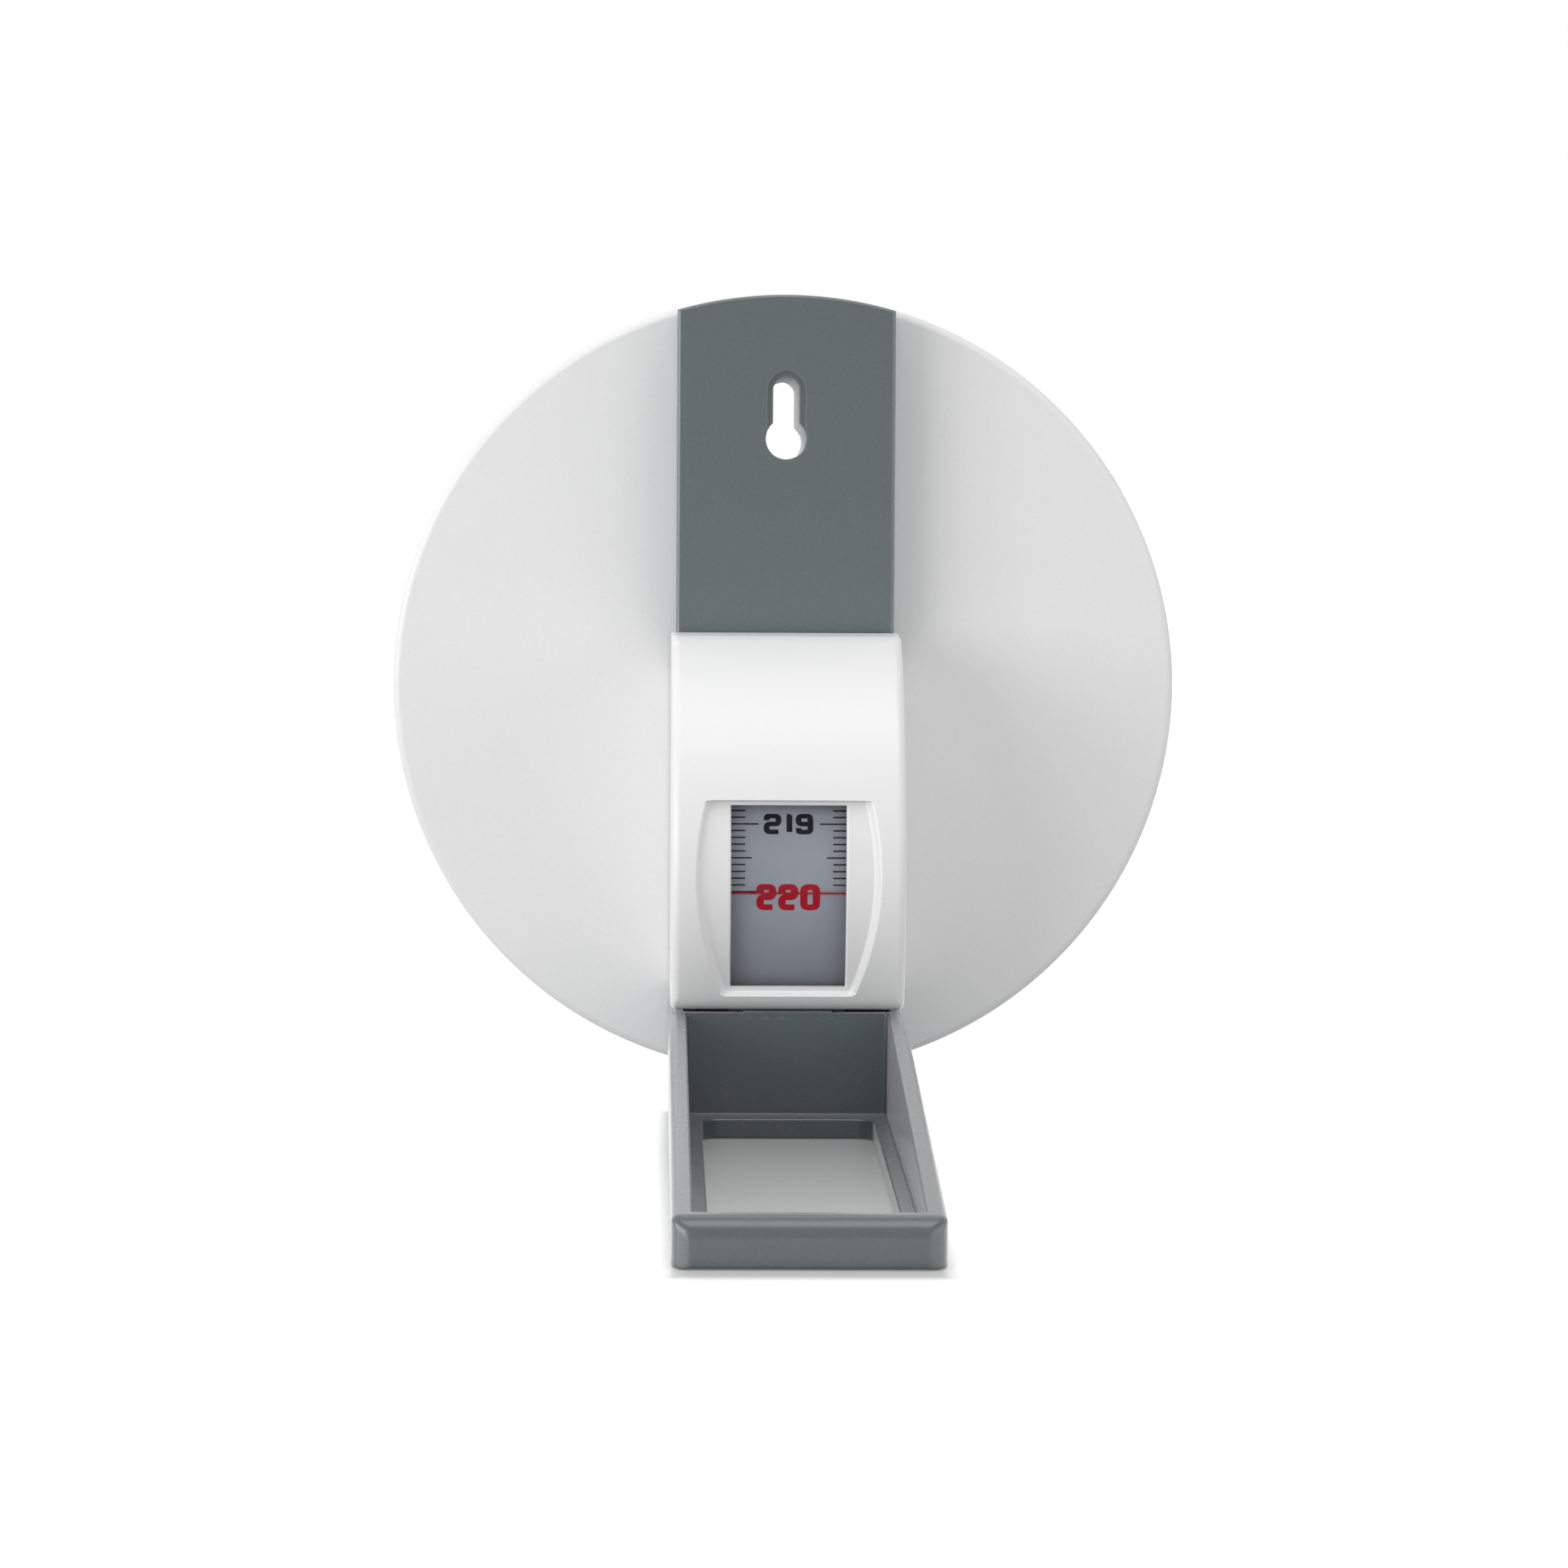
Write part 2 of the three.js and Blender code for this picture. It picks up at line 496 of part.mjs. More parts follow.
function channel() {
  const curve = partingCurve(GAP);
  const belowCurve = outline([
    ...curve,
    [SEAT_DEPTH + OVERRUN, COVER_TOP_Z + GAP],
    [SEAT_DEPTH + OVERRUN, PARTING_BOTTOM_Z - OVERRUN],
    [curve[0][0], PARTING_BOTTOM_Z - OVERRUN],
  ]);
  const upperOutline = channelTopOutline(CHANNEL_HALF_WIDTH, CHANNEL_ARC_RADIUS, PARTING_BOTTOM_Z);
  const upper = cut(
    fromFront(upperOutline, BACK_DEPTH, CHANNEL_FRONT_DEPTH),
    fromSide(belowCurve, -CHANNEL_HALF_WIDTH - OVERRUN, CHANNEL_HALF_WIDTH + OVERRUN));
  const lower = block(
    -NARROW_HALF, NARROW_HALF, BACK_DEPTH, CHANNEL_FRONT_DEPTH, CHANNEL_FRONT_BOTTOM_Z, CHANNEL_NECK_Z);
  const legs = onBothSides((side) => block(
    ...span(side * NARROW_INNER_HALF, side * NARROW_HALF), BACK_DEPTH, CHANNEL_FRONT_DEPTH,
    FOOT_INNER_Z - FOOT_FLOOR / 2, CHANNEL_NECK_Z));
  const hollowRadius = CHANNEL_ARC_RADIUS - CHANNEL_WALL;
  const hollowOutline = channelTopOutline(CHANNEL_INNER_HALF, hollowRadius, CHANNEL_NECK_Z);
  const upperHollow = fromFront(hollowOutline, BACK_DEPTH - OVERRUN, CHANNEL_INNER_DEPTH);
  const lowerHollow = block(
    -NARROW_INNER_HALF, NARROW_INNER_HALF, BACK_DEPTH - OVERRUN, CHANNEL_INNER_DEPTH,
    FOOT_INNER_Z, CHANNEL_NECK_Z + CHANNEL_WALL);
  const slotHalf = ANCHOR_HALF_WIDTH + WALL_GAP;
  const slotTop = CHANNEL_ARC_RADIUS + OVERRUN;
  const topSlot = block(
    -slotHalf, slotHalf, BACK_DEPTH - OVERRUN, SLOT_FRONT_DEPTH, ANCHOR_TOP_Z, slotTop);
  const ribTop = ANCHOR_BOTTOM_Z - GAP;
  const ribFront = CHANNEL_INNER_DEPTH + CHANNEL_FRONT_WALL / 2;
  const ribs = onBothSides((side) => {
    const outer = side * (CHANNEL_INNER_HALF + CHANNEL_WALL / 2);
    const inner = side * (CHANNEL_INNER_HALF - STOP_RIB_WIDTH);
    return block(...span(inner, outer), BACK_DEPTH, ribFront, ribTop - STOP_RIB_HEIGHT, ribTop);
  });
  return joined(cut(joined(upper, lower, ...legs), upperHollow, lowerHollow, topSlot), ...ribs);
}

// Head frame: the hollow foot and the tray-shaped tongue
function footShell() {
  const shoulders = onBothSides((side) => ellipsePoints(
    [side * (FOOT_HALF_WIDTH - SHOULDER_WIDTH), FOOT_TOP_Z - SHOULDER_HEIGHT],
    side * SHOULDER_WIDTH, SHOULDER_HEIGHT, 0, Math.PI / 2, CORNER_STEPS));
  const front = outline([
    [-FOOT_HALF_WIDTH, FLOOR_Z], ...shoulders[0], ...shoulders[1].toReversed(), [FOOT_HALF_WIDTH, FLOOR_Z],
  ]);
  const side = roundedOutline([
    [BACK_DEPTH, FLOOR_Z],
    [TONGUE_FRONT_DEPTH, FLOOR_Z, TONGUE_TOE_FILLET],
    [TONGUE_FRONT_DEPTH, TONGUE_FRONT_Z, TONGUE_FRONT_FILLET],
    [TONGUE_BACK_DEPTH, FOOT_TOP_Z],
    [BACK_DEPTH, FOOT_TOP_Z],
  ]);
  const plan = roundedOutline([
    [-FOOT_HALF_WIDTH, BACK_DEPTH],
    [FOOT_HALF_WIDTH, BACK_DEPTH],
    [FOOT_HALF_WIDTH, TONGUE_FRONT_DEPTH, TONGUE_CORNER],
    [-FOOT_HALF_WIDTH, TONGUE_FRONT_DEPTH, TONGUE_CORNER],
  ]);
  const across = fromSide(side, -FOOT_HALF_WIDTH - OVERRUN, FOOT_HALF_WIDTH + OVERRUN);
  const along = fromFront(front, BACK_DEPTH, TONGUE_FRONT_DEPTH);
  const upright = fromAbove(plan, FLOOR_Z, FOOT_TOP_Z);
  return common(common(along, across), upright);
}

// The tray's pocket, a little wider at the rim than at the floor
function trayPocket() {
  const half = POCKET_FLOOR_HALF_WIDTH;
  const plan = box2d(-half, half, TONGUE_BACK_DEPTH, POCKET_FRONT_DEPTH, POCKET_CORNER);
  const pocket = fromAbove(plan, POCKET_FLOOR_Z, FOOT_TOP_Z + OVERRUN);
  const place = pocket.attributes.position;
  const widening = POCKET_RIM_HALF_WIDTH / POCKET_FLOOR_HALF_WIDTH - 1;
  for (let i = 0; i < place.count; i += 1) {
    const rise = (place.getZ(i) - POCKET_FLOOR_Z) / (FOOT_TOP_Z - POCKET_FLOOR_Z);
    place.setX(i, place.getX(i) * (1 + widening * rise));
  }
  return pocket;
}

function headFrame() {
  const cavity = block(
    -FOOT_INNER_HALF, FOOT_INNER_HALF, BACK_DEPTH - OVERRUN, FOOT_INNER_DEPTH,
    FOOT_INNER_Z, FOOT_TOP_Z + OVERRUN);
  const openingOutline = box2d(
    -OPENING_HALF_WIDTH, OPENING_HALF_WIDTH,
    TONGUE_BACK_DEPTH + OPENING_END_LEDGE, POCKET_FRONT_DEPTH - OPENING_END_LEDGE, OPENING_CORNER);
  const opening = fromAbove(openingOutline, FLOOR_Z - OVERRUN, POCKET_FLOOR_Z + OVERRUN);
  const foot = cut(footShell(), cavity, trayPocket(), opening);
  const pinSeats = rodAcross(
    BORE_RADIUS, -FOOT_INNER_HALF - PIN_SEAT, FOOT_INNER_HALF + PIN_SEAT, ROLLER_DEPTH, ROLLER_Z);
  const legTies = onBothSides((side) => {
    const inner = side * NARROW_INNER_HALF;
    const outer = side * (FOOT_INNER_HALF + FOOT_WALL / 2);
    return block(
      ...span(inner, outer), BACK_DEPTH, CHANNEL_INNER_DEPTH, FOOT_INNER_Z - FOOT_FLOOR / 2, FOOT_TOP_Z);
  });
  const keyhole = keyholeOutline(0, KEYHOLE_Z, KEYHOLE_SLOT_REACH, KEYHOLE_SLOT_WIDTH);
  const recessReach = KEYHOLE_SLOT_REACH + (KEYHOLE_RECESS_WIDTH - KEYHOLE_SLOT_WIDTH) / 2;
  const recess = keyholeOutline(0, KEYHOLE_Z, recessReach, KEYHOLE_RECESS_WIDTH);
  const coverScrewPlaces = onBothSides((side) => [side * COVER_SCREW_X, COVER_SCREW_Z]);
  const screwHoles = [...frameScrewPlaces(), ...coverScrewPlaces].map(([x, z]) => rodOutwards(
    SCREW_HOLE_RADIUS, CHANNEL_INNER_DEPTH - OVERRUN, CHANNEL_FRONT_DEPTH + OVERRUN, x, z));
  return cut(
    joined(channel(), foot, ...legTies),
    pinSeats,
    fromFront(keyhole, CHANNEL_INNER_DEPTH - OVERRUN, CHANNEL_FRONT_DEPTH + OVERRUN),
    fromFront(recess, CHANNEL_FRONT_DEPTH - KEYHOLE_RECESS_DEPTH, CHANNEL_FRONT_DEPTH + OVERRUN),
    ...screwHoles);
}

// Case cover
function bulgeArc(radius, topZ, bottomZ) {
  const start = Math.asin((topZ - BULGE_Z) / radius);
  const stop = Math.asin((bottomZ - BULGE_Z) / radius);
  return arcPoints([BULGE_DEPTH, BULGE_Z], radius, start, stop);
}

function recessOutline() {
  const middle = (RECESS_TOP_Z + RECESS_BOTTOM_Z) / 2;
  const [topHalf, middleHalf, bottomHalf] = [RECESS_TOP_SIDE, RECESS_MIDDLE_SIDE, RECESS_BOTTOM_SIDE].map(
    (side) => WINDOW_HALF_WIDTH + side);
  const curve = new THREE.QuadraticBezierCurve(
    new THREE.Vector2(topHalf, RECESS_TOP_Z),
    new THREE.Vector2(2 * middleHalf - (topHalf + bottomHalf) / 2, middle),
    new THREE.Vector2(bottomHalf, RECESS_BOTTOM_Z));
  const right = curve.getPoints(ARC_STEPS / 2).map((p) => p.toArray());
  const left = right.map(([x, z]) => [-x, z]).toReversed();
  return outline([...right, ...left]);
}

function caseCover() {
  const body = cut(
    fromSide(outline([
      [BACK_DEPTH, COVER_TOP_Z], ...bulgeArc(BULGE_RADIUS, COVER_TOP_Z, COVER_BOTTOM_Z),
      [BACK_DEPTH, COVER_BOTTOM_Z],
    ]), -COVER_HALF_WIDTH, COVER_HALF_WIDTH),
    fromSide(outline([
      [BACK_DEPTH - OVERRUN, COVER_TOP_Z - COVER_WALL],
      ...bulgeArc(COVER_INNER_RADIUS, COVER_TOP_Z - COVER_WALL, COVER_BOTTOM_Z - OVERRUN),
      [BACK_DEPTH - OVERRUN, COVER_BOTTOM_Z - OVERRUN],
    ]), -COVER_INNER_HALF, COVER_INNER_HALF),
    block(
      -COVER_INNER_HALF, COVER_INNER_HALF, BACK_DEPTH - OVERRUN, SEAT_DEPTH,
      COVER_BOTTOM_Z, COVER_TOP_Z + OVERRUN));
  const aboveParting = fromSide(outline([
    [BACK_DEPTH - OVERRUN, PARTING_BOTTOM_Z], ...partingCurve(0), [SEAT_DEPTH, COVER_TOP_Z + OVERRUN],
    [BACK_DEPTH - OVERRUN, COVER_TOP_Z + OVERRUN],
  ]), -COVER_HALF_WIDTH - OVERRUN, COVER_HALF_WIDTH + OVERRUN);
  const recessFloor = arcPoints(
    [BULGE_DEPTH, BULGE_Z], BULGE_RADIUS - RECESS_DEPTH, -Math.PI / 2, Math.PI / 2, WIDE_STEPS / 2);
  const recess = cut(
    fromFront(recessOutline(), REEL_DEPTH, BULGE_DEPTH + BULGE_RADIUS + OVERRUN),
    fromSide(outline(recessFloor), -COVER_HALF_WIDTH, COVER_HALF_WIDTH));
  const window = block(
    -WINDOW_HALF_WIDTH, WINDOW_HALF_WIDTH, REEL_DEPTH, BULGE_DEPTH + BULGE_RADIUS + OVERRUN,
    WINDOW_BOTTOM_Z, WINDOW_TOP_Z);
  const bosses = onBothSides((side) => rodOutwards(
    BOSS_RADIUS, SEAT_DEPTH, COVER_TOP_DEPTH, side * COVER_SCREW_X, COVER_SCREW_Z));
  const screwHoles = onBothSides((side) => rodOutwards(
    SCREW_HOLE_RADIUS, SEAT_DEPTH - OVERRUN, SEAT_DEPTH + COVER_SCREW_REACH + GAP,
    side * COVER_SCREW_X, COVER_SCREW_Z));
  const shell = joined(cut(body, aboveParting, recess, window), ...bosses);
  return joined(cut(shell, ...screwHoles), ...onBothSides(lug));
}

// A lug inside the cover's side wall, which reaches down into the foot
function lug(side) {
  const outer = FOOT_INNER_HALF - GAP;
  const inner = outer - LUG_THICKNESS;
  const far = LUG_NEAR_DEPTH + LUG_WIDTH;
  const top = COVER_BOTTOM_Z + LUG_REACH;
  const tongue = block(
    ...span(side * inner, side * outer), LUG_NEAR_DEPTH, far, COVER_BOTTOM_Z - LUG_REACH, top);
  const root = COVER_HALF_WIDTH - COVER_SIDE_WALL / 2;
  const tie = block(...span(side * inner, side * root), LUG_NEAR_DEPTH, far, COVER_BOTTOM_Z, top);
  return joined(tongue, tie);
}

function windowLens() {
  const top = WINDOW_TOP_Z + LENS_MARGIN;
  const bottom = WINDOW_BOTTOM_Z - LENS_MARGIN;
  const outer = bulgeArc(LENS_OUTER_RADIUS, top, bottom);
  const inner = bulgeArc(LENS_INNER_RADIUS, top, bottom).toReversed();
  const half = WINDOW_HALF_WIDTH + LENS_MARGIN;
  return fromSide(outline([...outer, ...inner]), -half, half);
}

function coverScrew(side) {
  const tip = SEAT_DEPTH + COVER_SCREW_REACH;
  return screw(side * COVER_SCREW_X, COVER_SCREW_Z, CHANNEL_INNER_DEPTH - GAP, tip);
}

// Reel frame
function frameScrewPlaces() {
  const upper = (CHEEK_TOP_Z + UPPER_BAR_BOTTOM_Z) / 2;
  const lower = (LOWER_BAR_TOP_Z + LOWER_BAR_BOTTOM_Z) / 2;
  return [upper, lower].flatMap((z) => onBothSides((side) => [side * FRAME_SCREW_X, z]));
}

function reelFrame() {
  const centre = [BULGE_DEPTH, BULGE_Z];
  const start = degToRad(CHEEK_FRONT_ANGLE);
  const stop = degToRad(BACKING_END_ANGLE);
  const front = arcPoints(centre, BACKING_RADIUS, start, stop);
  const cheekOutline = outline([
    [SEAT_DEPTH, CHEEK_TOP_Z], [SEAT_DEPTH, LOWER_BAR_BOTTOM_Z], [REEL_DEPTH, CHANNEL_FRONT_BOTTOM_Z],
    ...front.toReversed(), [REEL_DEPTH, CHEEK_TOP_Z],
  ]);
  const cheeks = onBothSides((side) => cut(
    fromSide(cheekOutline, ...span(side * CHEEK_INNER_X, side * CHEEK_OUTER_X)),
    rodAcross(BORE_RADIUS, -CHEEK_OUTER_X - OVERRUN, CHEEK_OUTER_X + OVERRUN, REEL_DEPTH, REEL_Z)));
  const across = CHEEK_INNER_X + CHEEK_THICKNESS / 2;
  const top = degToRad(BACKING_TOP_ANGLE);
  const backing = fromSide(outline([
    ...arcPoints(centre, BACKING_RADIUS, top, stop),
    ...arcPoints(centre, BACKING_RADIUS - BACKING_THICKNESS, stop, top),
  ]), -across, across);
  const barFront = SEAT_DEPTH + BAR_THICKNESS;
  const upperBar = block(-across, across, SEAT_DEPTH, barFront, UPPER_BAR_BOTTOM_Z, CHEEK_TOP_Z);
  const lowerBar = block(-across, across, SEAT_DEPTH, barFront, LOWER_BAR_BOTTOM_Z, LOWER_BAR_TOP_Z);
  const holes = frameScrewPlaces().map(([x, z]) => rodOutwards(
    SCREW_HOLE_RADIUS, SEAT_DEPTH - OVERRUN, barFront + OVERRUN, x, z));
  return cut(joined(...cheeks, backing, upperBar, lowerBar), ...holes);
}

function frameScrew([x, z]) {
  return screw(x, z, SEAT_DEPTH + BAR_THICKNESS + GAP, CHANNEL_INNER_DEPTH - SCREW_TIP);
}

// Reel: the fixed axle and what is on it
function reelAxle() {
  const groove = AXLE_RADIUS - AXLE_GROOVE;
  const right = [
    [AXLE_RADIUS, RING_INNER_X - GAP], [groove, RING_INNER_X - GAP], [groove, RING_OUTER_X + GAP],
    [AXLE_RADIUS, RING_OUTER_X + GAP], [AXLE_RADIUS, AXLE_END_X], [0, AXLE_END_X],
  ];
  const left = right.map(([r, x]) => [r, -x]).toReversed();
  return turnedAcross([...left, ...right], REEL_DEPTH, REEL_Z);
}

function axleRing(side) {
  const inner = AXLE_RADIUS - AXLE_GROOVE + GAP;
  const [left, right] = span(side * RING_INNER_X, side * RING_OUTER_X);
  return tubeAcross(inner, RING_RADIUS, left, right, REEL_DEPTH, REEL_Z);
}

function springArbor() {
  const half = SPRING_WIDTH / 2;
  return tubeAcross(BORE_RADIUS, BORE_RADIUS + ARBOR_WALL, -half, half, REEL_DEPTH, REEL_Z);
}

function mainspring() {
  const steps = SPRING_TURNS * SPRING_TURN_STEPS;
  const side = (offset) => Array.from({ length: steps + 1 }, (_, i) => {
    const turns = i / SPRING_TURN_STEPS;
    const radius = SPRING_START_RADIUS + SPRING_PITCH * turns + offset;
    const angle = 2 * Math.PI * turns;
    return [REEL_DEPTH + radius * Math.cos(angle), REEL_Z + radius * Math.sin(angle)];
  });
  const strip = outline([...side(SPRING_STRIP / 2), ...side(-SPRING_STRIP / 2).toReversed()]);
  return fromSide(strip, -SPRING_WIDTH / 2, SPRING_WIDTH / 2);
}

// Reel: what turns
function reelDrum() {
  const bore = BUSH_RADIUS + GAP;
  return turnedAcross([
    [bore, -FLANGE_OUTER_X], [FLANGE_RADIUS, -FLANGE_OUTER_X], [FLANGE_RADIUS, -FLANGE_INNER_X],
    [HUB_RADIUS, -FLANGE_INNER_X], [HUB_RADIUS, TAPE_HALF], [HUB_INNER_RADIUS, TAPE_HALF],
    [HUB_INNER_RADIUS, -FLANGE_INNER_X],
    [bore, -FLANGE_INNER_X], [bore, -FLANGE_OUTER_X],
  ], REEL_DEPTH, REEL_Z, REEL_STEPS);
}

function reelCap() {
  const bore = BUSH_RADIUS + GAP;
  return tubeAcross(bore, FLANGE_RADIUS, FLANGE_INNER_X, FLANGE_OUTER_X, REEL_DEPTH, REEL_Z, REEL_STEPS);
}

function reelBush(side) {
  const profile = [
    [BORE_RADIUS, FLANGE_INNER_X], [BUSH_RADIUS, FLANGE_INNER_X], [BUSH_RADIUS, BUSH_INNER_X],
    [BUSH_RADIUS + BUSH_LIP, BUSH_INNER_X], [BUSH_RADIUS + BUSH_LIP, BUSH_OUTER_X],
    [BORE_RADIUS, BUSH_OUTER_X], [BORE_RADIUS, FLANGE_INNER_X],
  ];
  return turnedAcross(profile.map(([r, x]) => [r, side * x]), REEL_DEPTH, REEL_Z);
}

function tapeCoil() {
  return tubeAcross(HUB_RADIUS + GAP, COIL_RADIUS, -TAPE_HALF, TAPE_HALF, REEL_DEPTH, REEL_Z, REEL_STEPS);
}

// Tape: behind the window, down to the roller and round it
function tapeWindowRun() {
  const centre = [BULGE_DEPTH, BULGE_Z];
  const roller = [ROLLER_DEPTH, ROLLER_Z];
  const path = (thickness) => [
    ...arcPoints(centre, TAPE_INNER_RADIUS + thickness, leaveAngle, endAngle),
    ...arcPoints(roller, WRAP_RADIUS + thickness, endAngle, -Math.PI),
  ];
  return fromSide(outline([...path(TAPE_THICKNESS), ...path(0).toReversed()]), -TAPE_HALF, TAPE_HALF);
}

function tapeBackRun() {
  const front = BACK_RUN_DEPTH + TAPE_THICKNESS;
  return block(-TAPE_HALF, TAPE_HALF, BACK_RUN_DEPTH, front, ROLLER_Z + GAP, ANCHOR_TOP_Z);
}

// Guide roller in the foot
function guideRoller() {
  const half = FLANGE_INNER_X + ROLLER_RIM;
  const hub = BORE_RADIUS + ROLLER_HUB_WALL;
  const rim = ROLLER_RADIUS - ROLLER_RIM;
  const web = ROLLER_WEB / 2;
  const right = [
    [ROLLER_RADIUS, FLANGE_INNER_X], [ROLLER_LIP_RADIUS, FLANGE_INNER_X], [ROLLER_LIP_RADIUS, half],
    [rim, half], [rim, web], [hub, web], [hub, half], [BORE_RADIUS, half],
  ];
  const left = right.map(([r, x]) => [r, -x]).toReversed();
  return turnedAcross([...left, ...right, left[0]], ROLLER_DEPTH, ROLLER_Z, REEL_STEPS);
}

function rollerPin() {
  const end = FOOT_INNER_HALF + PIN_SEAT - GAP;
  return rodAcross(AXLE_RADIUS, -end, end, ROLLER_DEPTH, ROLLER_Z);
}

function rollerSpacer(side) {
  const [left, right] = span(
    side * (FLANGE_INNER_X + ROLLER_RIM + GAP), side * (FOOT_INNER_HALF - GAP));
  return tubeAcross(BORE_RADIUS, BORE_RADIUS + SPACER_WALL, left, right, ROLLER_DEPTH, ROLLER_Z);
}

// Assembly
function piece(name, geometry, makeFinish) {
  const mesh = new THREE.Mesh(geometry, makeFinish());
  mesh.name = name;
  return mesh;
}

function leftAndRight(name, make, makeFinish) {
  return [piece(`${name}_left`, make(-1), makeFinish), piece(`${name}_right`, make(1), makeFinish)];
}

function groupOf(...meshes) {
  const group = new THREE.Group();
  group.add(...meshes);
  return group;
}

const wallSide = groupOf(
  piece('wall_plate', wallPlate(), whitePlastic),
  piece('tape_end_clamp', tapeEndClamp(), steel),
  ...leftAndRight('clamp_screw', clampScrew, steel),
  piece('tape_back_run', tapeBackRun(), tapeEnamel),
);

const measuringHead = groupOf(
  piece('head_frame', headFrame(), grayPlastic),
  piece('case_cover', caseCover(), whitePlastic),
  piece('window_lens', windowLens(), clearPlastic),
  ...leftAndRight('cover_screw', coverScrew, steel),
  piece('reel_frame', reelFrame(), darkPlastic),
  ...frameScrewPlaces().map((place, i) => piece(`frame_screw_${i + 1}`, frameScrew(place), steel)),
  piece('reel_axle', reelAxle(), steel),
  ...leftAndRight('axle_ring', axleRing, steel),
  piece('spring_arbor', springArbor(), brass),
  piece('mainspring', mainspring(), steel),
  piece('tape_window_run', tapeWindowRun(), tapeEnamel),
  piece('roller_pin', rollerPin(), steel),
  ...leftAndRight('roller_spacer', rollerSpacer, darkPlastic),
);

const reel = groupOf(
  piece('reel_drum', reelDrum(), darkPlastic),
  piece('reel_cap', reelCap(), darkPlastic),
  ...leftAndRight('reel_bush', reelBush, brass),
  piece('tape_coil', tapeCoil(), tapeEnamel),
);

const turner = groupOf(piece('guide_roller', guideRoller(), darkPlastic));

export default groupOf(wallSide, measuringHead, reel, turner);
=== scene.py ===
"""Roll-up height measure for a wall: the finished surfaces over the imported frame, and the studio."""
import math

import bmesh
import bpy
from bpy.props import FloatProperty, FloatVectorProperty, PointerProperty
from mathutils import Matrix, Vector


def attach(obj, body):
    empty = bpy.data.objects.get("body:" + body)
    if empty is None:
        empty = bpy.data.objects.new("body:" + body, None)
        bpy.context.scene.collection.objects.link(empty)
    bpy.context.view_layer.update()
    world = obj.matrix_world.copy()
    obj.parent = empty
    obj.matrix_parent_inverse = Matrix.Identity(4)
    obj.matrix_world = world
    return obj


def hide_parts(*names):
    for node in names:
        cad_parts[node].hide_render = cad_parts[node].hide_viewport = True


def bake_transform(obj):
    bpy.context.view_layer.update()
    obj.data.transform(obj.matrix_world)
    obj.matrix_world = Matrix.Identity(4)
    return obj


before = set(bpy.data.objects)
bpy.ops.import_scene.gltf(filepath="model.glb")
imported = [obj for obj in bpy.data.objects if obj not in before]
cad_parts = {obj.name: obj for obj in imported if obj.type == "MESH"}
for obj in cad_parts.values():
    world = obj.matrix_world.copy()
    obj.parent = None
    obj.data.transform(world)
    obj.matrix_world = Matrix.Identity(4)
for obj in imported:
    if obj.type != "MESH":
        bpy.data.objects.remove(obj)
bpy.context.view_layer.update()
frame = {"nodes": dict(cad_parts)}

bl_info = {
    "name": "Roll-up height measure",
    "version": (1, 0, 0),
    "blender": (4, 5, 0),
    "location": "View3D > Sidebar > Height measure",
    "description": "Builds a wall-mounted roll-up height measure piece by piece",
    "category": "Object",
}

MM = 0.001
OVERRUN = 4 * MM
GAP = 0.3 * MM
SEAM = 0.06 * MM
NEAR = 0.1 * MM
SHARP = math.radians(24)
BOTH_SIDES = (-1, 1)

# Small sizes that more than one piece uses
SCREW_HOLE_RADIUS = 1.3 * MM
TINY_EDGE = 0.08 * MM
FINE_EDGE = 0.15 * MM

# Small sizes of the plate and of the head frame
BOSS_EDGE = 0.25 * MM
ANCHOR_CLEARANCE = 0.4 * MM
OPENING_CORNER = 3 * MM
PIN_SEAT_RADIUS = 1.8 * MM
PIN_SEAT_DEPTH = 1.4 * MM
TRAY_EDGE = 0.3 * MM
FRONT_EDGE = 0.6 * MM
LIP_DEPTHS = (-0.9 * MM, 0.1 * MM)
LIP_HEIGHTS = (-0.6 * MM, 0.25 * MM)
REEL_FLANGE_LIP = 0.8 * MM
FRAME_BAR_HEIGHT = 5 * MM
FRAME_BAR_DROP = 3 * MM
FRAME_SCREW_X = 6 * MM

# Small sizes of the cover, its window and the index line
BULGE_STEPS = 64
BULGE_LEAD = math.radians(3)
LEVEL_GAP = 0.25 * MM
WINDOW_EDGE = 0.35 * MM
WINDOW_BACK = 25 * MM
WINDOW_FACE = 30 * MM
BOSS_INSET = 2 * MM
COVER_HOLE_REACH = 7.3 * MM
LUG_DEPTHS = (18 * MM, 26 * MM)
LUG_REACH = 2.6 * MM
LUG_THICKNESS = 1.6 * MM
RECESS_TILT_SHARE = 0.02
INDEX_LIFT = 0.02 * MM
INDEX_THICKNESS = 0.05 * MM

# Small sizes of a screw
CROWN_FLAT = 0.25 * MM
SLOT_HALF = 0.2 * MM
SLOT_DEPTH = 0.45 * MM
SLOT_REACH_SHARE = 0.62
TIP_LENGTH = 0.5 * MM
TIP_SHARE = 0.55
THREAD_PITCH = 0.55 * MM
THREAD_HALF = 0.2 * MM
THREAD_FREE = 1.2 * MM
THREAD_ROOT_SHARE = 0.8
THREAD_CREST_SHARE = 1.16
CLAMP_SCREW_SHANK = 3.9 * MM
COVER_SCREW_SHANK = 9.3 * MM
FRAME_SCREW_SHANK = 4.8 * MM
FRAME_SCREW_SEAT = 1.9 * MM

